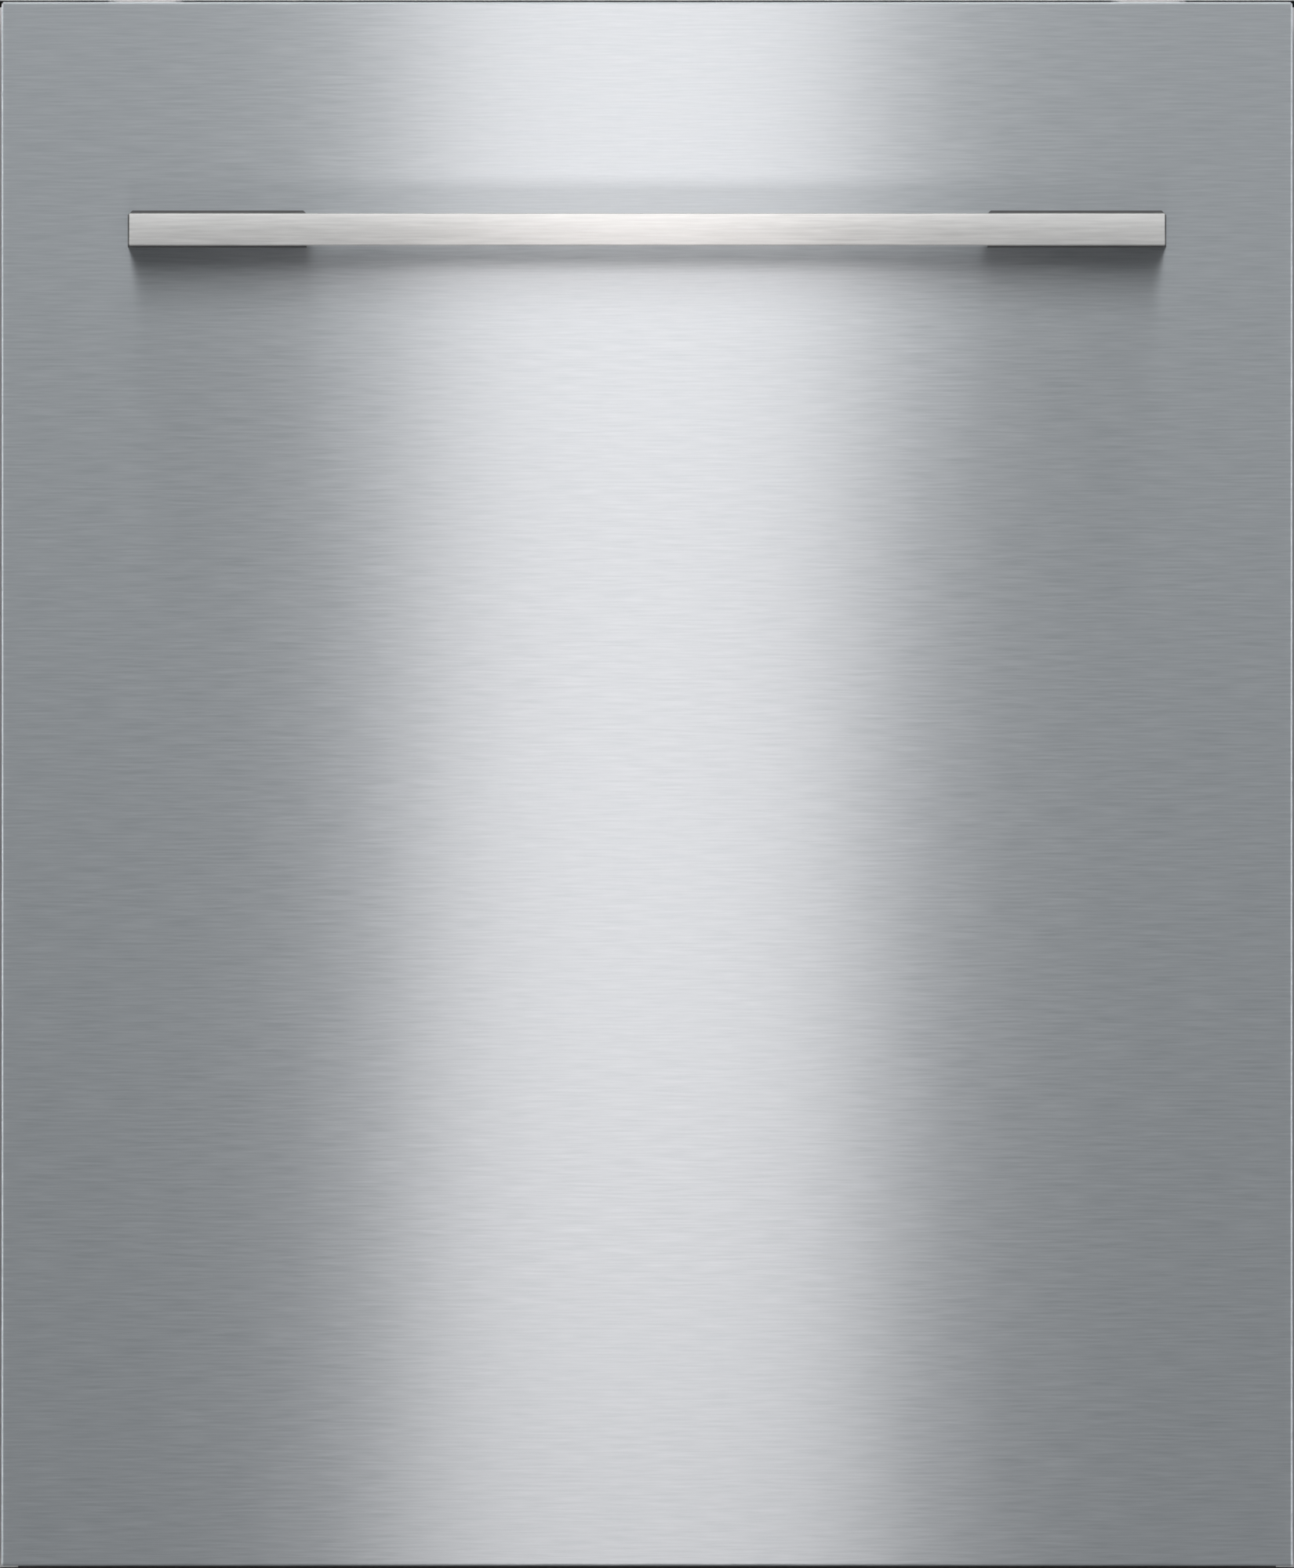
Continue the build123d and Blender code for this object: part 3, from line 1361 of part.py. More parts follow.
for label, (x, y) in {"front_foot_left": (-front_foot[0], front_foot[1]), "front_foot_right": front_foot,
                      "rear_foot": rear_foot}.items():
    with BuildPart() as foot:
        with BuildSketch(Plane((x, y, 0), (1, 0, 0), (0, -1, 0))):
            with BuildLine():
                Polyline((0, 0), (foot_pad - foot_edge, 0), (foot_pad, foot_edge),
                         (foot_pad, foot_pad_height), (foot_neck, foot_height), (foot_stem, foot_height),
                         (foot_stem, foot_stem_top), (0, foot_stem_top), close=True)
            make_face()
        revolve(axis=Axis((x, y, 0), (0, 0, 1)))
    save(foot, label)
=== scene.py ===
from math import atan2, cos, pi, radians, sin

import bmesh
import bpy
from mathutils import Matrix, Vector


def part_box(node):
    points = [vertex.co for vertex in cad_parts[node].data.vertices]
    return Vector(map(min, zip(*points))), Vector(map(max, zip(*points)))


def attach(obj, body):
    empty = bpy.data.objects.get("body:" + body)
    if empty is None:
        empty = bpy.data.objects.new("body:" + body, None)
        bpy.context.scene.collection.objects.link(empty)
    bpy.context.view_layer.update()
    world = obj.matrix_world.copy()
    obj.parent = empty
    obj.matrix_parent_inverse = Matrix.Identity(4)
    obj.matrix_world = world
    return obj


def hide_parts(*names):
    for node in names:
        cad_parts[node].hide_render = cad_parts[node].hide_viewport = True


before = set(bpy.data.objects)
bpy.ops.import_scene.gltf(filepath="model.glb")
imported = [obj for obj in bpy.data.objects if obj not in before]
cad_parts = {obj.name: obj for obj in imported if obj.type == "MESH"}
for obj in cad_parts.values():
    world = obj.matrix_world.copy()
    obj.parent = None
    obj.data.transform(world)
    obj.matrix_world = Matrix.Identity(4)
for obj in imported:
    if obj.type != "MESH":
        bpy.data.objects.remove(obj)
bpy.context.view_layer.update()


# Base tray and mains inlet: a deep tray injection-moulded in black glass-filled plastic, which carries the
# tub on four posts and holds the water and power fittings in its rear wall.
noise_low = 0.3
noise_high = 0.7


def finish(name, roughness, metallic=0.0):
    """A new material and its shader."""
    material = bpy.data.materials.new(name)
    material.use_nodes = True
    shader = material.node_tree.nodes["Principled BSDF"]
    shader.inputs["Roughness"].default_value = roughness
    shader.inputs["Metallic"].default_value = metallic
    return material, shader


def grain(material, scale, detail=3.0):
    """Noise on the piece's own coordinates, with a scale for each axis in features per metre."""
    nodes, links = material.node_tree.nodes, material.node_tree.links
    coordinates = nodes.new("ShaderNodeTexCoord")
    mapping = nodes.new("ShaderNodeMapping")
    mapping.inputs["Scale"].default_value = scale
    noise = nodes.new("ShaderNodeTexNoise")
    noise.inputs["Scale"].default_value = 1.0
    noise.inputs["Detail"].default_value = detail
    links.new(coordinates.outputs["Object"], mapping.inputs["Vector"])
    links.new(mapping.outputs["Vector"], noise.inputs["Vector"])
    return noise.outputs["Fac"]


def even(scale):
    """The same scale along all three axes."""
    return (scale, scale, scale)


def tint(material, shader, factor, dark, light, low=noise_low, high=noise_high):
    """Base colour from a dark to a light tone, as the factor goes from low to high."""
    ramp = material.node_tree.nodes.new("ShaderNodeValToRGB")
    ramp.color_ramp.elements[0].position = low
    ramp.color_ramp.elements[0].color = (*dark, 1.0)
    ramp.color_ramp.elements[1].position = high
    ramp.color_ramp.elements[1].color = (*light, 1.0)
    material.node_tree.links.new(factor, ramp.inputs["Fac"])
    material.node_tree.links.new(ramp.outputs["Color"], shader.inputs["Base Color"])


def gloss(material, shader, factor, smooth, rough):
    """Roughness between two values, as the factor goes through its middle range."""
    spread = material.node_tree.nodes.new("ShaderNodeMapRange")
    spread.inputs["From Min"].default_value = noise_low
    spread.inputs["From Max"].default_value = noise_high
    spread.inputs["To Min"].default_value = smooth
    spread.inputs["To Max"].default_value = rough
    material.node_tree.links.new(factor, spread.inputs["Value"])
    material.node_tree.links.new(spread.outputs["Result"], shader.inputs["Roughness"])


def relief(material, shader, height, strength, distance):
    """Surface relief from a height pattern, with its depth in metres."""
    bump = material.node_tree.nodes.new("ShaderNodeBump")
    bump.inputs["Strength"].default_value = strength
    bump.inputs["Distance"].default_value = distance
    material.node_tree.links.new(height, bump.inputs["Height"])
    material.node_tree.links.new(bump.outputs["Normal"], shader.inputs["Normal"])


def moulded(name, dark, light, roughness):
    """Injection-moulded plastic: a fine spark-eroded texture and slightly uneven tone and gloss."""
    material, shader = finish(name, roughness)
    tint(material, shader, grain(material, even(14.0), detail=4.0), dark, light)
    gloss(material, shader, grain(material, even(60.0)), smooth=roughness - 0.05, rough=roughness + 0.07)
    relief(material, shader, grain(material, even(900.0), detail=2.0), strength=0.25, distance=0.0002)
    return material


def dress(material, *nodes):
    """Give CAD pieces their finish."""
    for node in nodes:
        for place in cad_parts[node].material_slots:
            place.material = material


black_plastic = moulded("black_plastic", (0.012, 0.012, 0.013), (0.024, 0.024, 0.026), roughness=0.48)
dress(black_plastic, "base_tray", "mains_inlet")

# Feet: three screw feet, turned in nylon, each with a round pad and a threaded stem that turns in one of
# the base's posts to level the machine.
upright = Vector((0.0, 0.0, 1.0))
same_place = 1e-6
crease = radians(35.0)


def turned(profile, centre, axis=upright, segments=48):
    """A lathe-turned shape: (radius, height) points spun round an axis through a centre."""
    mesh = bmesh.new()
    line = [mesh.verts.new((radius, 0.0, height)) for radius, height in profile]
    edges = [mesh.edges.new(pair) for pair in zip(line, line[1:])]
    bmesh.ops.spin(mesh, geom=line + edges, axis=upright, angle=2 * pi, steps=segments, use_merge=True)
    bmesh.ops.remove_doubles(mesh, verts=mesh.verts[:], dist=same_place)
    bmesh.ops.recalc_face_normals(mesh, faces=mesh.faces[:])
    turn = upright.rotation_difference(axis).to_matrix().to_4x4()
    bmesh.ops.transform(mesh, matrix=Matrix.Translation(centre) @ turn, verts=mesh.verts[:])
    return mesh


def settle(mesh, name, material, body, slot, *nodes):
    """Make a finished mesh a piece that rides on a body and stands for CAD nodes."""
    data = bpy.data.meshes.new(name)
    mesh.to_mesh(data)
    mesh.free()
    data.shade_smooth()
    data.set_sharp_from_angle(angle=crease)
    data.materials.append(material)
    piece = bpy.data.objects.new(name, data)
    bpy.context.collection.objects.link(piece)
    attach(piece, body)
    if nodes:
        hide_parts(*nodes)
    return piece


def corners(node):
    """A CAD node's lowest and highest corners."""
    low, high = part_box(node)
    return Vector(low), Vector(high)


pad_radius = 0.018
pad_chamfer = 0.0015
pad_height = 0.006
shoulder = [(0.017, 0.0072), (0.0125, 0.0085), (0.011, 0.0105), (0.010, 0.012)]
stem_radius = 0.005
stem_chamfer = 0.001
thread_foot = 0.0125
thread_depth = 0.0005
thread_pitch = 0.0015
for foot in ("front_foot_left", "front_foot_right", "rear_foot"):
    low, high = corners(foot)
    middle = (low + high) / 2
    outline = [(0.0, 0.0), (pad_radius - pad_chamfer, 0.0), (pad_radius, pad_chamfer),
               (pad_radius, pad_height), *shoulder]
    height = thread_foot
    while height + thread_pitch < high.z:
        outline += [(stem_radius, height), (stem_radius - thread_depth, height + thread_pitch / 2)]
        height += thread_pitch
    outline += [(stem_radius - stem_chamfer, high.z), (0.0, high.z)]
    settle(turned(outline, (middle.x, middle.y, low.z)), foot + "_turned", black_plastic, foot,
           "black_plastic", foot)


# Cabinet sheets: side panels, rear panel, top plate and the door's inner shell, folded from hot-dip
# galvanised sheet, whose zinc shows as pale crystals of a few millimetres.
def cells(material, scale, randomness=1.0):
    """A cell pattern on the piece's own coordinates, with its scale in cells per metre."""
    nodes, links = material.node_tree.nodes, material.node_tree.links
    coordinates = nodes.new("ShaderNodeTexCoord")
    pattern = nodes.new("ShaderNodeTexVoronoi")
    pattern.inputs["Scale"].default_value = scale
    pattern.inputs["Randomness"].default_value = randomness
    links.new(coordinates.outputs["Object"], pattern.inputs["Vector"])
    return pattern.outputs


zinc_sheet, shader = finish("zinc_sheet", roughness=0.4, metallic=1.0)
crystals = zinc_sheet.node_tree.nodes.new("ShaderNodeSeparateColor")
zinc_sheet.node_tree.links.new(cells(zinc_sheet, 150.0)["Color"], crystals.inputs["Color"])
tint(zinc_sheet, shader, crystals.outputs["Red"], (0.555, 0.565, 0.575), (0.595, 0.605, 0.615),
     low=0.0, high=1.0)
gloss(zinc_sheet, shader, crystals.outputs["Green"], smooth=0.40, rough=0.44)
relief(zinc_sheet, shader, grain(zinc_sheet, even(260.0)), strength=0.03, distance=0.0004)
dress(zinc_sheet, "side_panel_left", "side_panel_right", "rear_panel", "top_plate", "door_shell")


# Tub and door liner: deep-drawn stainless sheet, satin rolled along the height. The tub stands on the base's
# posts, and the liner closes the inner side of the door.
def rolled_steel(name, dark, light, roughness, streak):
    """Rolled stainless sheet: long faint lines along one axis and a soft sheen."""
    material, shader = finish(name, roughness, metallic=1.0)
    lines = grain(material, streak, detail=4.0)
    tint(material, shader, lines, dark, light)
    gloss(material, shader, lines, smooth=roughness - 0.02, rough=roughness + 0.03)
    relief(material, shader, lines, strength=0.03, distance=0.0002)
    return material


tub_steel = rolled_steel("tub_steel", (0.70, 0.705, 0.71), (0.75, 0.755, 0.76), roughness=0.25,
                         streak=(700.0, 700.0, 20.0))
dress(tub_steel, "tub", "door_liner")

# Bright metal parts: crossbar, worktop tabs, hinges, springs, rails, slides and the handle's screws, stamped
# or drawn from plain steel and screwed or riveted on.
bare_steel = rolled_steel("bare_steel", (0.50, 0.50, 0.505), (0.60, 0.60, 0.605), roughness=0.34,
                          streak=(500.0, 40.0, 500.0))
dress(bare_steel, "front_crossbar", "worktop_brackets", "hinge_brackets", "hinge_arms", "door_springs",
      "rack_rails", "rail_slides", "handle_screws")

# Kick plate: a folded sheet with a dark powder coat, which hides the front of the base below the door and is
# held by two screws.
powder_coat, shader = finish("powder_coat", roughness=0.55)
tint(powder_coat, shader, grain(powder_coat, even(25.0)), (0.026, 0.027, 0.029), (0.040, 0.041, 0.044))
relief(powder_coat, shader, grain(powder_coat, even(700.0)), strength=0.35, distance=0.0003)
dress(powder_coat, "kick_plate")

# Cabinet screws: plated pan heads with a six-lobed recess, cold-headed from wire. Eight hold the rear panel
# and two the kick plate.
head_radius = 0.0045
head_height = 0.0018
head_edge = 0.0008
recess_rim = 0.0012
recess_radius = 0.0022
recess_lobes = 6
recess_lobe = 0.00035
recess_depth = 0.0012
rear_screws = 4
rear_pitch = 0.220
kick_screw_x = 0.240


def push(mesh, faces, way):
    """Extrude faces along a vector, and hand back the faces that moved."""
    moved = bmesh.ops.extrude_face_region(mesh, geom=faces)["geom"]
    bmesh.ops.translate(mesh, vec=way, verts=[item for item in moved if isinstance(item, bmesh.types.BMVert)])
    return [item for item in moved if isinstance(item, bmesh.types.BMFace)]


def screw_head():
    """One pan head on the XY plane, facing up."""
    mesh = bmesh.new()
    ring = bmesh.ops.create_circle(mesh, cap_ends=True, segments=24, radius=head_radius)["verts"]
    crown = push(mesh, ring[0].link_faces[:], upright * head_height)[0]
    bmesh.ops.bevel(mesh, geom=crown.edges[:], offset=head_edge, affect="EDGES", segments=3, profile=0.5,
                    material=-1)
    crown = max(mesh.faces, key=lambda face: face.calc_center_median().z)
    bmesh.ops.inset_individual(mesh, faces=[crown], thickness=recess_rim)
    for vert in crown.verts:
        angle = atan2(vert.co.y, vert.co.x)
        radius = recess_radius + recess_lobe * cos(recess_lobes * angle)
        vert.co.x, vert.co.y = radius * cos(angle), radius * sin(angle)
    push(mesh, [crown], -upright * recess_depth)
    bmesh.ops.recalc_face_normals(mesh, faces=mesh.faces[:])
    return mesh


def gathered(shape, places):
    """Copies of one shape in a single mesh, one for each matrix."""
    pattern = bpy.data.meshes.new("pattern")
    shape.to_mesh(pattern)
    shape.free()
    mesh = bmesh.new()
    for place in places:
        count = len(mesh.verts)
        mesh.from_mesh(pattern)
        mesh.verts.ensure_lookup_table()
        bmesh.ops.transform(mesh, matrix=place, verts=mesh.verts[count:])
    bpy.data.meshes.remove(pattern)
    return mesh


low, high = corners("cabinet_screws")
rear_rows = [high.z - head_radius - rear_pitch * row for row in range(rear_screws)]
facing_rear = Matrix.Rotation(-pi / 2, 4, "X")
facing_front = Matrix.Rotation(pi / 2, 4, "X")
seats = [Matrix.Translation((side * (high.x - head_radius), high.y - head_height, z)) @ facing_rear
         for side in (-1, 1) for z in rear_rows]
seats += [Matrix.Translation((side * kick_screw_x, low.y + head_height, low.z + head_radius)) @ facing_front
          for side in (-1, 1)]
plated_steel = rolled_steel("plated_steel", (0.58, 0.57, 0.54), (0.68, 0.67, 0.64), roughness=0.30,
                            streak=even(300.0))
settle(gathered(screw_head(), seats), "cabinet_screw_heads", plated_steel, "cabinet", "bare_steel",
       "cabinet_screws")

# Seals: black rubber, extruded as a bulb that goes round the mouth of the tub and as a lip along the foot of
# the door, and pressed into place.
rubber, shader = finish("rubber", roughness=0.62)
tint(rubber, shader, grain(rubber, even(30.0)), (0.010, 0.010, 0.010), (0.022, 0.022, 0.022))
gloss(rubber, shader, grain(rubber, even(220.0)), smooth=0.54, rough=0.72)
relief(rubber, shader, grain(rubber, even(1500.0)), strength=0.3, distance=0.0002)
dress(rubber, "tub_seal", "bottom_seal")

# Water parts: sump, pumps, tank, valve and ducts, moulded in grey and pale plastics and clipped together
# under the tub and beside it.
grey_plastic = moulded("grey_plastic", (0.22, 0.225, 0.235), (0.28, 0.285, 0.295), roughness=0.42)
pale_plastic = moulded("pale_plastic", (0.62, 0.63, 0.63), (0.74, 0.75, 0.75), roughness=0.38)
dress(grey_plastic, "sump", "filter_cup", "circulation_pump", "drain_pump", "feed_tube", "upper_arm_feed",
      "drain_spigot")
dress(pale_plastic, "side_water_tank", "inlet_valve")

# Filter plate: a stainless sieve, etched with rows of fine holes and laid over the sump in the floor of the
# tub.
sieve_steel, shader = finish("sieve_steel", roughness=0.3, metallic=1.0)
holes = cells(sieve_steel, 420.0, randomness=0.0)["Distance"]
tint(sieve_steel, shader, holes, (0.03, 0.03, 0.03), (0.62, 0.625, 0.63), low=0.26, high=0.34)
relief(sieve_steel, shader, holes, strength=0.4, distance=0.0006)
dress(sieve_steel, "filter_plate")

# Counterweight: a cast block with a rough sand-cast skin, laid in the rear of the base so that the open door
# doesn't tip the machine.
cast_weight, shader = finish("cast_weight", roughness=0.8)
tint(cast_weight, shader, grain(cast_weight, even(45.0), detail=6.0), (0.05, 0.05, 0.052), (0.13, 0.13, 0.13))
relief(cast_weight, shader, grain(cast_weight, even(420.0), detail=5.0), strength=0.7, distance=0.0008)
dress(cast_weight, "counterweight")

# Racks: welded steel wire, dipped in grey nylon that rounds every weld. The upper one hangs on its slides,
# and the lower one stands on four rollers in clipped-on carriers.
rack_coating, shader = finish("rack_coating", roughness=0.32)
tint(rack_coating, shader, grain(rack_coating, even(50.0)), (0.42, 0.43, 0.45), (0.49, 0.50, 0.52))
gloss(rack_coating, shader, grain(rack_coating, even(120.0)), smooth=0.26, rough=0.40)
relief(rack_coating, shader, grain(rack_coating, even(500.0)), strength=0.15, distance=0.0002)
rim_wire = 0.0022
thin_wire = 0.0016
weld_sink = 0.0009
floor_lap = 2 * thin_wire - weld_sink
rim_lap = thin_wire + rim_wire - weld_sink
arc_pull = 0.5523
floor_wires = 11


def wire_basket():
    """An empty basket, whose wires are added one by one."""
    wires = bpy.data.curves.new("wires", "CURVE")
    wires.dimensions = "3D"
    wires.bevel_depth = rim_wire
    wires.bevel_resolution = 2
    wires.resolution_u = 6
    wires.use_fill_caps = True
    return bpy.data.objects.new("wires", wires)


def plain_mesh(holder):
    """The mesh of a curve or text object, which is then removed."""
    data = bpy.data.meshes.new_from_object(holder)
    bpy.data.objects.remove(holder)
    mesh = bmesh.new()
    mesh.from_mesh(data)
    bpy.data.meshes.remove(data)
    return mesh


def lay_wire(basket, points, radius, bend=0.0, closed=False):
    """One wire through its corner points, bent to a radius at each of them."""
    points = [Vector(point) for point in points]
    knots = []
    for number, point in enumerate(points):
        if not closed and number in (0, len(points) - 1):
            knots.append((point, Vector()))
            continue
        arriving = (point - points[number - 1]).normalized() * bend
        leaving = (points[(number + 1) % len(points)] - point).normalized() * bend
        knots += [(point - arriving, arriving * arc_pull), (point + leaving, leaving * arc_pull)]
    wire = basket.data.splines.new("BEZIER")
    wire.bezier_points.add(len(knots) - 1)
    wire.use_cyclic_u = closed
    for knot, (place, pull) in zip(wire.bezier_points, knots):
        knot.handle_left_type = knot.handle_right_type = "FREE"
        knot.co, knot.handle_left, knot.handle_right = place, place - pull, place + pull
        knot.radius = radius / rim_wire


def steps(first, last, count):
    """Evenly spaced places."""
    return [first + (last - first) * number / (count - 1) for number in range(count)]


def weave(basket, node, floor_z, rings, along, across, bend, corner):
    """Rim rings, then wires along the floor and across it, which turn up into the walls."""
    low, high = corners(node)
    half = high.x - rim_wire - rim_lap
    front, rear = low.y + rim_wire + rim_lap, high.y - rim_wire - rim_lap
    rim = high.z - rim_wire
    for z in (rim, *rings):
        sides = [(-half - rim_lap, front - rim_lap, z), (half + rim_lap, front - rim_lap, z),
                 (half + rim_lap, rear + rim_lap, z), (-half - rim_lap, rear + rim_lap, z)]
        lay_wire(basket, sides, rim_wire, corner, closed=True)
    for x in along:
        lay_wire(basket, [(x, front, rim), (x, front, floor_z), (x, rear, floor_z), (x, rear, rim)],
                 thin_wire, bend)
    below = floor_z - floor_lap
    for y in across:
        lay_wire(basket, [(-half, y, rim), (-half, y, below), (half, y, below), (half, y, rim)],
                 thin_wire, bend)


def stand_pins(basket, foot_z, top_z, columns, rows):
    """Upright pins that plates and glasses lean on."""
    for y in rows:
        for x in columns:
            lay_wire(basket, [(x, y, foot_z), (x, y, top_z)], thin_wire)


def weld(basket, rack):
    """Make a basket's wires one mesh that stands for a rack."""
    settle(plain_mesh(basket), rack + "_wires", rack_coating, rack, "rack_coating", rack)


lower_floor = 0.192
lower_basket = wire_basket()
weave(lower_basket, "lower_rack", lower_floor, rings=(0.268, 0.228), along=steps(-0.200, 0.200, floor_wires),
      across=steps(-0.100, 0.200, floor_wires), bend=0.025, corner=0.030)
stand_pins(lower_basket, foot_z=lower_floor - floor_lap, top_z=0.276,
           columns=(0.070, 0.100, 0.150, 0.180, 0.220), rows=steps(0.020, 0.140, 5))
weld(lower_basket, "lower_rack")
upper_floor = 0.457
upper_basket = wire_basket()
weave(upper_basket, "upper_rack", upper_floor, rings=(0.500,), along=steps(-0.190, 0.190, floor_wires),
      across=steps(-0.110, 0.205, floor_wires), bend=0.022, corner=0.026)
stand_pins(upper_basket, foot_z=upper_floor - floor_lap, top_z=0.512,
           columns=(-0.150, -0.080, 0.080, 0.150), rows=steps(-0.047, 0.142, 7))
weld(upper_basket, "upper_rack")

# Rack carriers, rollers and cutlery basket: grey moulded parts, clipped to the racks' wires. Each roller has
# a hub, a thin web and a tread.
rack_plastic = moulded("rack_plastic", (0.25, 0.255, 0.265), (0.31, 0.315, 0.325), roughness=0.40)
dress(rack_plastic, "wheel_brackets", "rack_brackets", "cutlery_basket")
roller_radius = 0.016
roller_width = 0.012
roller_chamfer = 0.0015
roller_bore = 0.0031
hub_radius = 0.0065
hub_draft = 0.0005
web_sink = 0.003
web_radius = 0.0115
tread_inside = 0.0125
near_face = [(roller_bore, 0.0), (hub_radius, 0.0), (hub_radius + hub_draft, web_sink),
             (web_radius, web_sink), (tread_inside, 0.0), (roller_radius - roller_chamfer, 0.0),
             (roller_radius, roller_chamfer)]
far_face = [(radius, roller_width - depth) for radius, depth in reversed(near_face)]
for rollers in ("front_rack_wheels", "rear_rack_wheels"):
    low, high = corners(rollers)
    middle = (low + high) / 2
    sides = [Matrix.Identity(4), Matrix.Rotation(pi, 4, "Z") @ Matrix.Translation((0.0, -2 * middle.y, 0.0))]
    roller = turned([*near_face, *far_face, near_face[0]], (high.x - roller_width, middle.y, middle.z),
                    axis=Vector((1.0, 0.0, 0.0)))
    settle(gathered(roller, sides), rollers + "_turned", rack_plastic, rollers, "grey_plastic", rollers)

# Spray arms: two blow-moulded blades on a hub, with slots for the water, free to turn on the spigots that
# feed them.
arm_plastic = moulded("arm_plastic", (0.17, 0.175, 0.185), (0.22, 0.225, 0.235), roughness=0.36)
dress(arm_plastic, "lower_spray_arm", "upper_spray_arm")

# Dispenser: a moulded block let into the door liner, with a sliding lid over its detergent chamber and a cap
# that turns to fill the rinse aid.
dispenser_plastic = moulded("dispenser_plastic", (0.27, 0.275, 0.285), (0.33, 0.335, 0.345), roughness=0.42)
dress(dispenser_plastic, "detergent_dispenser")
lid_plastic = moulded("lid_plastic", (0.36, 0.365, 0.375), (0.43, 0.435, 0.445), roughness=0.36)
dress(lid_plastic, "dispenser_lid")
cap_plastic = moulded("cap_plastic", (0.08, 0.095, 0.13), (0.11, 0.125, 0.165), roughness=0.38)
dress(cap_plastic, "rinse_aid_cap")

# Panel core: a damping board of pressed fibre behind the steel front, cut to fit between its folds and glued
# to it.
core_board, shader = finish("core_board", roughness=0.85)
tint(core_board, shader, grain(core_board, even(300.0), detail=6.0), (0.055, 0.055, 0.056),
     (0.105, 0.104, 0.102))
relief(core_board, shader, grain(core_board, even(900.0), detail=5.0), strength=0.5, distance=0.0004)
dress(core_board, "panel_core")

# Control strip: a dark moulding along the top edge of the door, over two circuit boards, with the latch pawl
# behind the slot in its middle and a window of dark glass let in flush.
dark_plastic = moulded("dark_plastic", (0.030, 0.031, 0.033), (0.046, 0.047, 0.050), roughness=0.40)
dress(dark_plastic, "control_strip", "latch_pawl")
window_glass, shader = finish("window_glass", roughness=0.06)
tint(window_glass, shader, grain(window_glass, even(20.0)), (0.004, 0.004, 0.005), (0.008, 0.008, 0.010))
gloss(window_glass, shader, grain(window_glass, even(90.0)), smooth=0.05, rough=0.09)
dress(window_glass, "display_window")
circuit_board, shader = finish("circuit_board", roughness=0.4)
tint(circuit_board, shader, grain(circuit_board, even(400.0)), (0.01, 0.07, 0.03), (0.03, 0.14, 0.06))
relief(circuit_board, shader, grain(circuit_board, even(900.0)), strength=0.3, distance=0.0003)
dress(circuit_board, "control_boards")

# Buttons: turned metal plungers with a dished top, kept under the control strip by a collar. Each is printed
# with a plain sign, and the window shows lit digits.
button_steel = rolled_steel("button_steel", (0.56, 0.565, 0.57), (0.66, 0.665, 0.67), roughness=0.30,
                            streak=(60.0, 1500.0, 60.0))
print_ink, shader = finish("print_ink", roughness=0.5)
tint(print_ink, shader, grain(print_ink, even(800.0)), (0.010, 0.010, 0.011), (0.020, 0.020, 0.022))
lit_ink, shader = finish("lit_ink", roughness=0.4)
tint(lit_ink, shader, grain(lit_ink, even(800.0)), (0.70, 0.74, 0.76), (0.82, 0.85, 0.86))
ink_height = 0.00006
button_radius = 0.0065
button_rim = [(0.0, 0.0008), (0.0003, 0.0002), (0.0009, 0.0), (0.0015, 0.0002)]
collar_height = 0.002
dish = 0.0004
dish_radius = 0.0030
digit_size = 0.006
display_digit_size = 0.012
ring_radii = (0.0021, 0.0027)
ring_gap = radians(35.0)
stroke_place = (0.0, 0.0022, 0.0)
stroke_scale = (0.0003, 0.0014, 1.0)
triangle_radius = 0.0026


def digits(words, size, place):
    """Flat printed characters, as a mesh that lies level and reads from the front."""
    letters = bpy.data.curves.new("letters", "FONT")
    letters.body = words
    letters.size = size
    letters.align_x, letters.align_y = "CENTER", "CENTER"
    letters.extrude = ink_height / 2
    holder = bpy.data.objects.new("letters", letters)
    bpy.context.collection.objects.link(holder)
    mesh = plain_mesh(holder)
    bmesh.ops.translate(mesh, vec=place, verts=mesh.verts[:])
    return mesh


def raised_sign(mesh, place):
    """A flat sign given the thickness of ink and put in its place."""
    push(mesh, mesh.faces[:], upright * ink_height)
    bmesh.ops.recalc_face_normals(mesh, faces=mesh.faces[:])
    bmesh.ops.translate(mesh, vec=place, verts=mesh.verts[:])
    return mesh


def power_sign(place):
    """A broken ring with an upright stroke in its gap."""
    mesh = bmesh.new()
    start = [mesh.verts.new((radius * sin(ring_gap), radius * cos(ring_gap), 0.0)) for radius in ring_radii]
    edge = mesh.edges.new(start)
    bmesh.ops.spin(mesh, geom=[*start, edge], axis=-upright, angle=2 * (pi - ring_gap), steps=32)
    stroke = Matrix.LocRotScale(stroke_place, None, stroke_scale)
    bmesh.ops.create_grid(mesh, x_segments=1, y_segments=1, size=1.0, matrix=stroke)
    return raised_sign(mesh, place)


def start_sign(place):
    """A triangle that points to the right."""
    mesh = bmesh.new()
    bmesh.ops.create_circle(mesh, cap_ends=True, segments=3, radius=triangle_radius,
                            matrix=Matrix.Rotation(-pi / 2, 4, "Z"))
    return raised_sign(mesh, place)


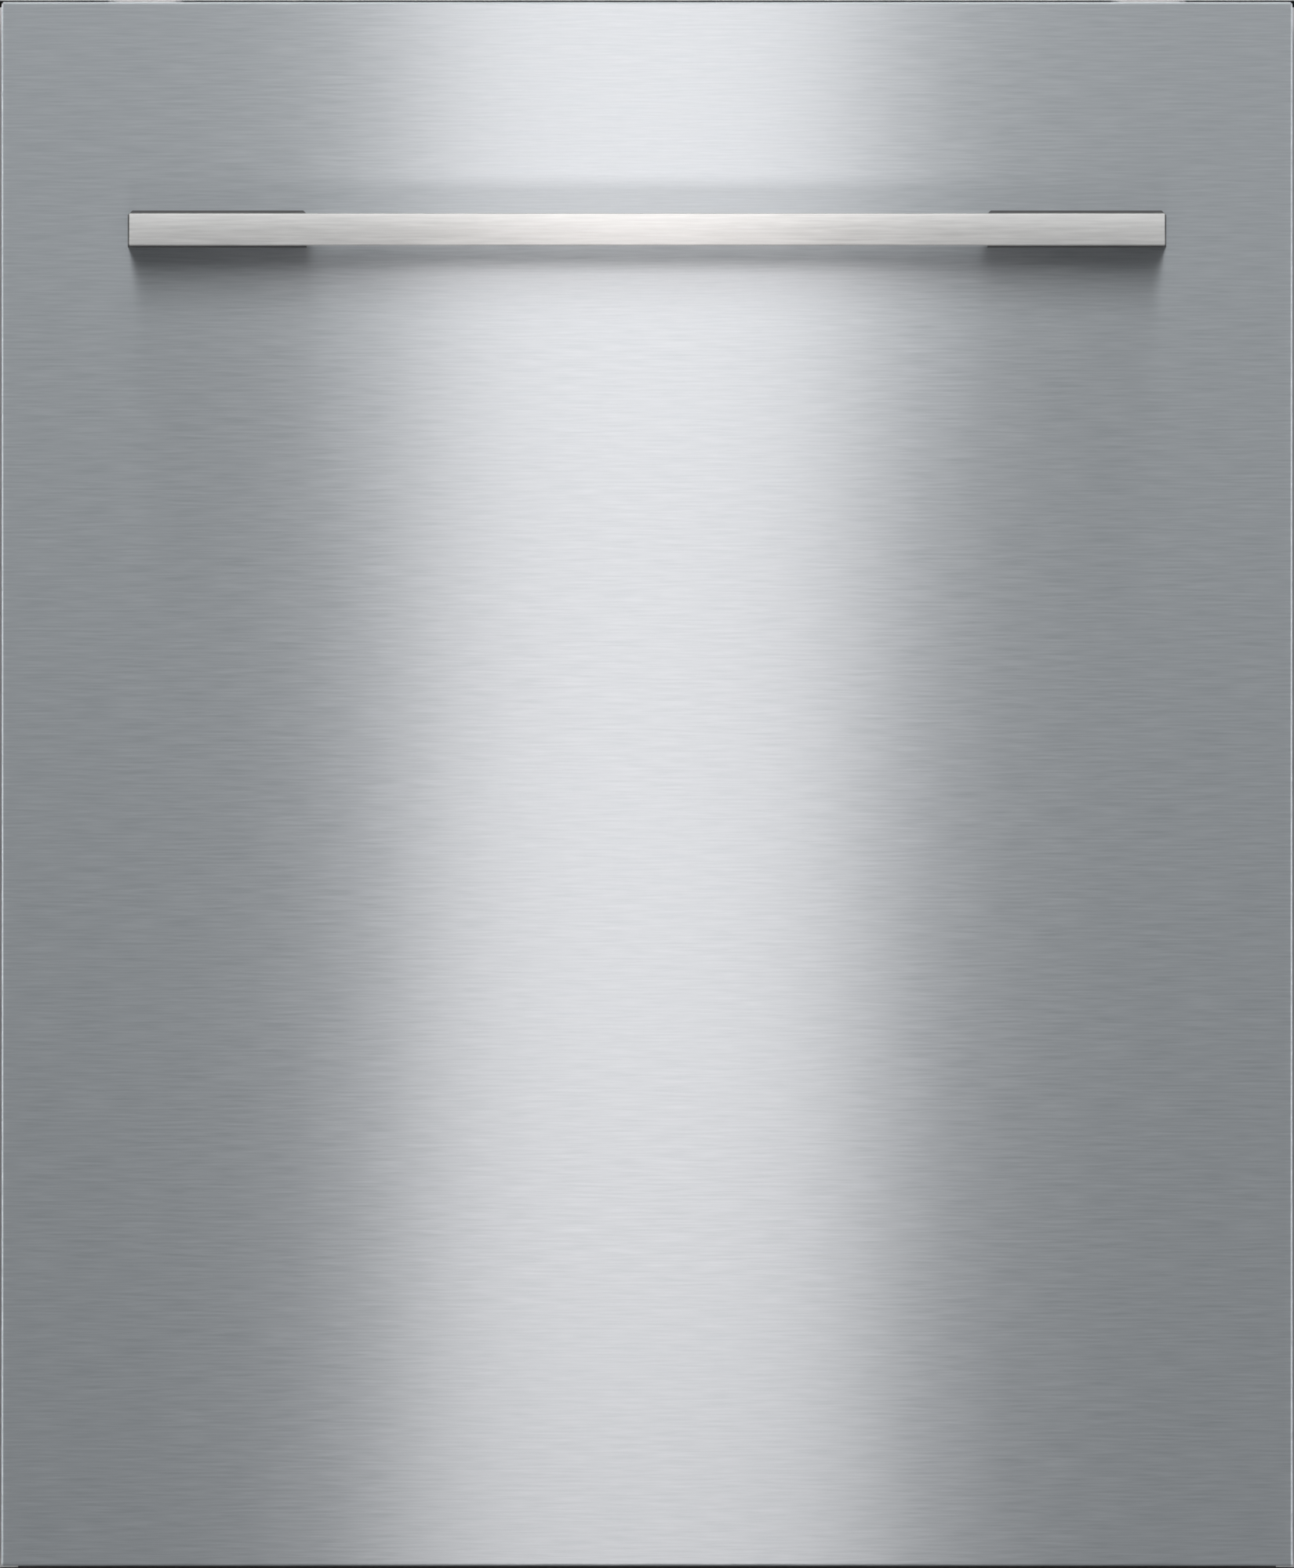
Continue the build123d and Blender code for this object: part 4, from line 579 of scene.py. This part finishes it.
signs = {"power_button": power_sign, "start_button": start_sign}
buttons = ("power_button", "program_button_1", "program_button_2", "program_button_3", "start_button")
for number, button in enumerate(buttons):
    low, high = corners(button)
    middle = (low + high) / 2
    height = high.z - low.z
    collar = (high.x - low.x) / 2
    outline = [(0.0, 0.0), (collar, 0.0), (collar, collar_height), (button_radius, collar_height)]
    outline += [(button_radius - inset, height - drop) for inset, drop in button_rim]
    outline += [(dish_radius, height - dish), (0.0, height - dish)]
    settle(turned(outline, (middle.x, middle.y, low.z), segments=64), button + "_turned", button_steel,
           button, "handle_steel", button)
    spot = Vector((middle.x, middle.y, high.z - dish))
    if button in signs:
        sign = signs[button](spot)
    else:
        sign = digits(str(number), digit_size, spot + upright * ink_height / 2)
    settle(sign, button + "_sign", print_ink, button, "handle_steel")
low, high = corners("display_window")
middle = (low + high) / 2
settle(digits("1:30", display_digit_size, (middle.x, middle.y, high.z + ink_height / 2)), "display_digits",
       lit_ink, "door", "window_glass")


# Front panel: brushed stainless sheet, ground along its width and folded back round all four edges over the
# panel core.
def brushed_steel(name, dark, light, roughness, line):
    """Stainless sheet ground along X: short fine lines, and a sheen drawn out across them."""
    material, shader = finish(name, roughness, metallic=1.0)
    shader.inputs["Anisotropic"].default_value = 1.0
    tangent = material.node_tree.nodes.new("ShaderNodeTangent")
    tangent.direction_type = "RADIAL"
    tangent.axis = "X"
    material.node_tree.links.new(tangent.outputs["Tangent"], shader.inputs["Tangent"])
    lines = grain(material, line, detail=2.0)
    tint(material, shader, lines, dark, light, low=0.25, high=0.75)
    gloss(material, shader, lines, smooth=roughness - 0.03, rough=roughness + 0.03)
    relief(material, shader, lines, strength=0.015, distance=0.0002)
    return material


brushed_front = brushed_steel("brushed_front", (0.43, 0.463, 0.488), (0.55, 0.583, 0.608), roughness=0.350,
                              line=(45.0, 45.0, 1000.0))
panel_low, panel_high = corners("front_panel")
panel_middle = (panel_low + panel_high) / 2
panel_size = panel_high - panel_low
fold_radius = 0.0012
sheet = 0.001

mesh = bmesh.new()
bmesh.ops.create_cube(mesh, size=1.0, matrix=Matrix.LocRotScale(panel_middle, None, panel_size))
rear = [face for face in mesh.faces if face.normal.y > 0.5]
bmesh.ops.delete(mesh, geom=rear, context="FACES_ONLY")
folds = [edge for edge in mesh.edges if not edge.is_boundary]
bmesh.ops.bevel(mesh, geom=folds, offset=fold_radius, affect="EDGES", segments=6, profile=0.5, material=-1)
bmesh.ops.solidify(mesh, geom=mesh.faces[:], thickness=sheet)
panel = settle(mesh, "front_panel_sheet", brushed_front, "door", "brushed_front", "front_panel")

# Handle: a brushed steel bar with a crowned front, whose rounded edges carry the legs' dark plastic as
# painted shade, on two dark moulded legs that are screwed through the front panel from inside. The legs stand
# proud of the bar's ends by half a millimetre.
handle_steel = brushed_steel("handle_steel", (0.70, 0.70, 0.69), (0.92, 0.92, 0.91), roughness=0.50,
                             line=(40.0, 300.0, 800.0))
low, high = corners("handle_bar")
leg_end = Vector((0.0005, 0.0, 0.0))
low, high = low + leg_end, high - leg_end
crown = 0.0012
crown_steps = 12
edge_radius = 0.0005
sharp = radians(40.0)
# Face slopes of the bar's rounded edges, which are painted dark as painted shade.
shade_painted_slopes = (0.5, 0.95)

mesh = bmesh.new()
section = [mesh.verts.new((low.x, high.y, z)) for z in (high.z, low.z)]
for number in range(crown_steps + 1):
    share = number / crown_steps
    depth = low.y + crown * (2 * share - 1) ** 2
    section.append(mesh.verts.new((low.x, depth, low.z + (high.z - low.z) * share)))
push(mesh, [mesh.faces.new(section)], (high.x - low.x, 0.0, 0.0))
bmesh.ops.recalc_face_normals(mesh, faces=mesh.faces[:])
arrises = [edge for edge in mesh.edges if edge.calc_face_angle() > sharp]
bmesh.ops.bevel(mesh, geom=arrises, offset=edge_radius, affect="EDGES", segments=3, profile=0.5, material=-1)
# The rounded edges get the legs' dark plastic: painted shade, not a dark part.
for face in mesh.faces:
    slopes = (abs(face.normal.x), abs(face.normal.z))
    face.material_index = int(any(shade_painted_slopes[0] < slope < shade_painted_slopes[1] for slope in slopes))
bar = settle(mesh, "handle_bar_drawn", handle_steel, "door", "handle_steel", "handle_bar")
# One dark plastic for the legs' own colour and for the painted shade on the bar's rounded edges.
leg_plastic_and_edge_shade = moulded("leg_plastic_and_edge_shade", (0.075, 0.077, 0.080), (0.105, 0.107, 0.110), roughness=0.5)
dress(leg_plastic_and_edge_shade, "handle_legs")
bar.data.materials.append(leg_plastic_and_edge_shade)

# Floor: a plain pale sheet that the machine stands on, wide enough to fill every view. It isn't part of the
# machine.
floor_reach = 8.0
mesh = bmesh.new()
bmesh.ops.create_grid(mesh, x_segments=1, y_segments=1, size=floor_reach)
floor = bpy.data.objects.new("floor", bpy.data.meshes.new("floor"))
mesh.to_mesh(floor.data)
mesh.free()
bpy.context.collection.objects.link(floor)
pale_floor, shader = finish("pale_floor", roughness=0.7)
tint(pale_floor, shader, grain(pale_floor, even(3.0)), (0.70, 0.70, 0.70), (0.74, 0.74, 0.74))
floor.data.materials.append(pale_floor)

# Studio light: a grey room with soft light from above and from every side. Two small softboxes draw the
# bright band down the middle of the door, and three lamps light only the front panel's edges or the handle.
room_grey = (0.12, 0.1225, 0.1275, 1.0)
plain_white = (1.0, 1.0, 1.0)
warm_white = (1.06, 0.985, 0.965)
world = bpy.data.worlds.new("studio")
bpy.context.scene.world = world
world.use_nodes = True
world.node_tree.nodes["Background"].inputs["Color"].default_value = room_grey
world.node_tree.nodes["Background"].inputs["Strength"].default_value = 1.0


def softbox(name, place, target, size, power, spread=180.0, tone=plain_white, spares=None, only=None):
    """A rectangular lamp, hidden from the camera, that may spare one piece or light only one."""
    lamp = bpy.data.lights.new(name, "AREA")
    lamp.shape = "RECTANGLE"
    lamp.size, lamp.size_y = size
    lamp.energy = power
    lamp.spread = radians(spread)
    lamp.color = tone
    holder = bpy.data.objects.new(name, lamp)
    holder.location = place
    holder.rotation_euler = (Vector(target) - Vector(place)).to_track_quat("-Z", "Y").to_euler()
    holder.visible_camera = False
    bpy.context.collection.objects.link(holder)
    if spares or only:
        linked = bpy.data.collections.new(name + "_linked")
        linked.objects.link(spares or only)
        linked.collection_objects[0].light_linking.link_state = "EXCLUDE" if spares else "INCLUDE"
        holder.light_linking.receiver_collection = linked


door_centre = (0.0, panel_low.y, panel_middle.z)
bar_centre = (0.0, -0.3, 0.69)
band_x = -0.004
for height, power in ((0.15, 1.75), (1.05, 1.66)):
    softbox("band", (band_x, -1.67, height), (band_x, panel_low.y, height), size=(0.36, 0.30), power=power,
            tone=warm_white, spares=floor)
softbox("overhead", (0.0, -2.4, 1.8), door_centre, size=(4.0, 1.4), power=8.0, spread=100.0)
softbox("top", (0.0, -0.4, 2.2), (0.0, -0.4, 0.0), size=(3.0, 0.6), power=16.0, spares=floor)
softbox("ceiling", (0.0, 1.0, 3.2), (0.0, 1.0, 0.0), size=(4.0, 3.0), power=28.0)
for side in (-1, 1):
    softbox("corner", (side * 1.75, -2.5, 1.1), (0.0, -0.27, 0.5), size=(1.5, 1.6), power=9.0, spares=floor)
    softbox("edge", (side * 2.2, -0.35, 0.5), (0.0, -0.35, 0.5), size=(0.6, 1.2), power=18.0, only=panel)
    softbox("side", (side * 2.8, 0.3, 1.5), (0.0, 0.3, 0.4), size=(1.8, 1.8), power=8.0)
softbox("bar", (0.0, -2.2, 1.5), bar_centre, size=(3.0, 0.6), power=10.0, only=bar)
softbox("rear", (0.0, 3.2, 1.8), (0.0, 0.0, 0.4), size=(3.0, 1.6), power=30.0)

# Camera: straight in front of the door and far back, so that its lines of sight are almost parallel. The door
# front fills the frame from edge to edge.
image_height = 2000
panel_pixels = 1646
frame_height = image_height * panel_size.x / panel_pixels
distance = 20.0
camera = bpy.data.objects.new("camera", bpy.data.cameras.new("camera"))
camera.data.sensor_width = 36.0
camera.data.lens = camera.data.sensor_width * distance / frame_height
camera.data.clip_end = 200.0
camera.location = (0.0, panel_low.y - distance, panel_middle.z)
camera.rotation_euler = (pi / 2, 0.0, 0.0)
bpy.context.collection.objects.link(camera)
bpy.context.scene.camera = camera
bpy.context.scene.view_settings.view_transform = "Standard"
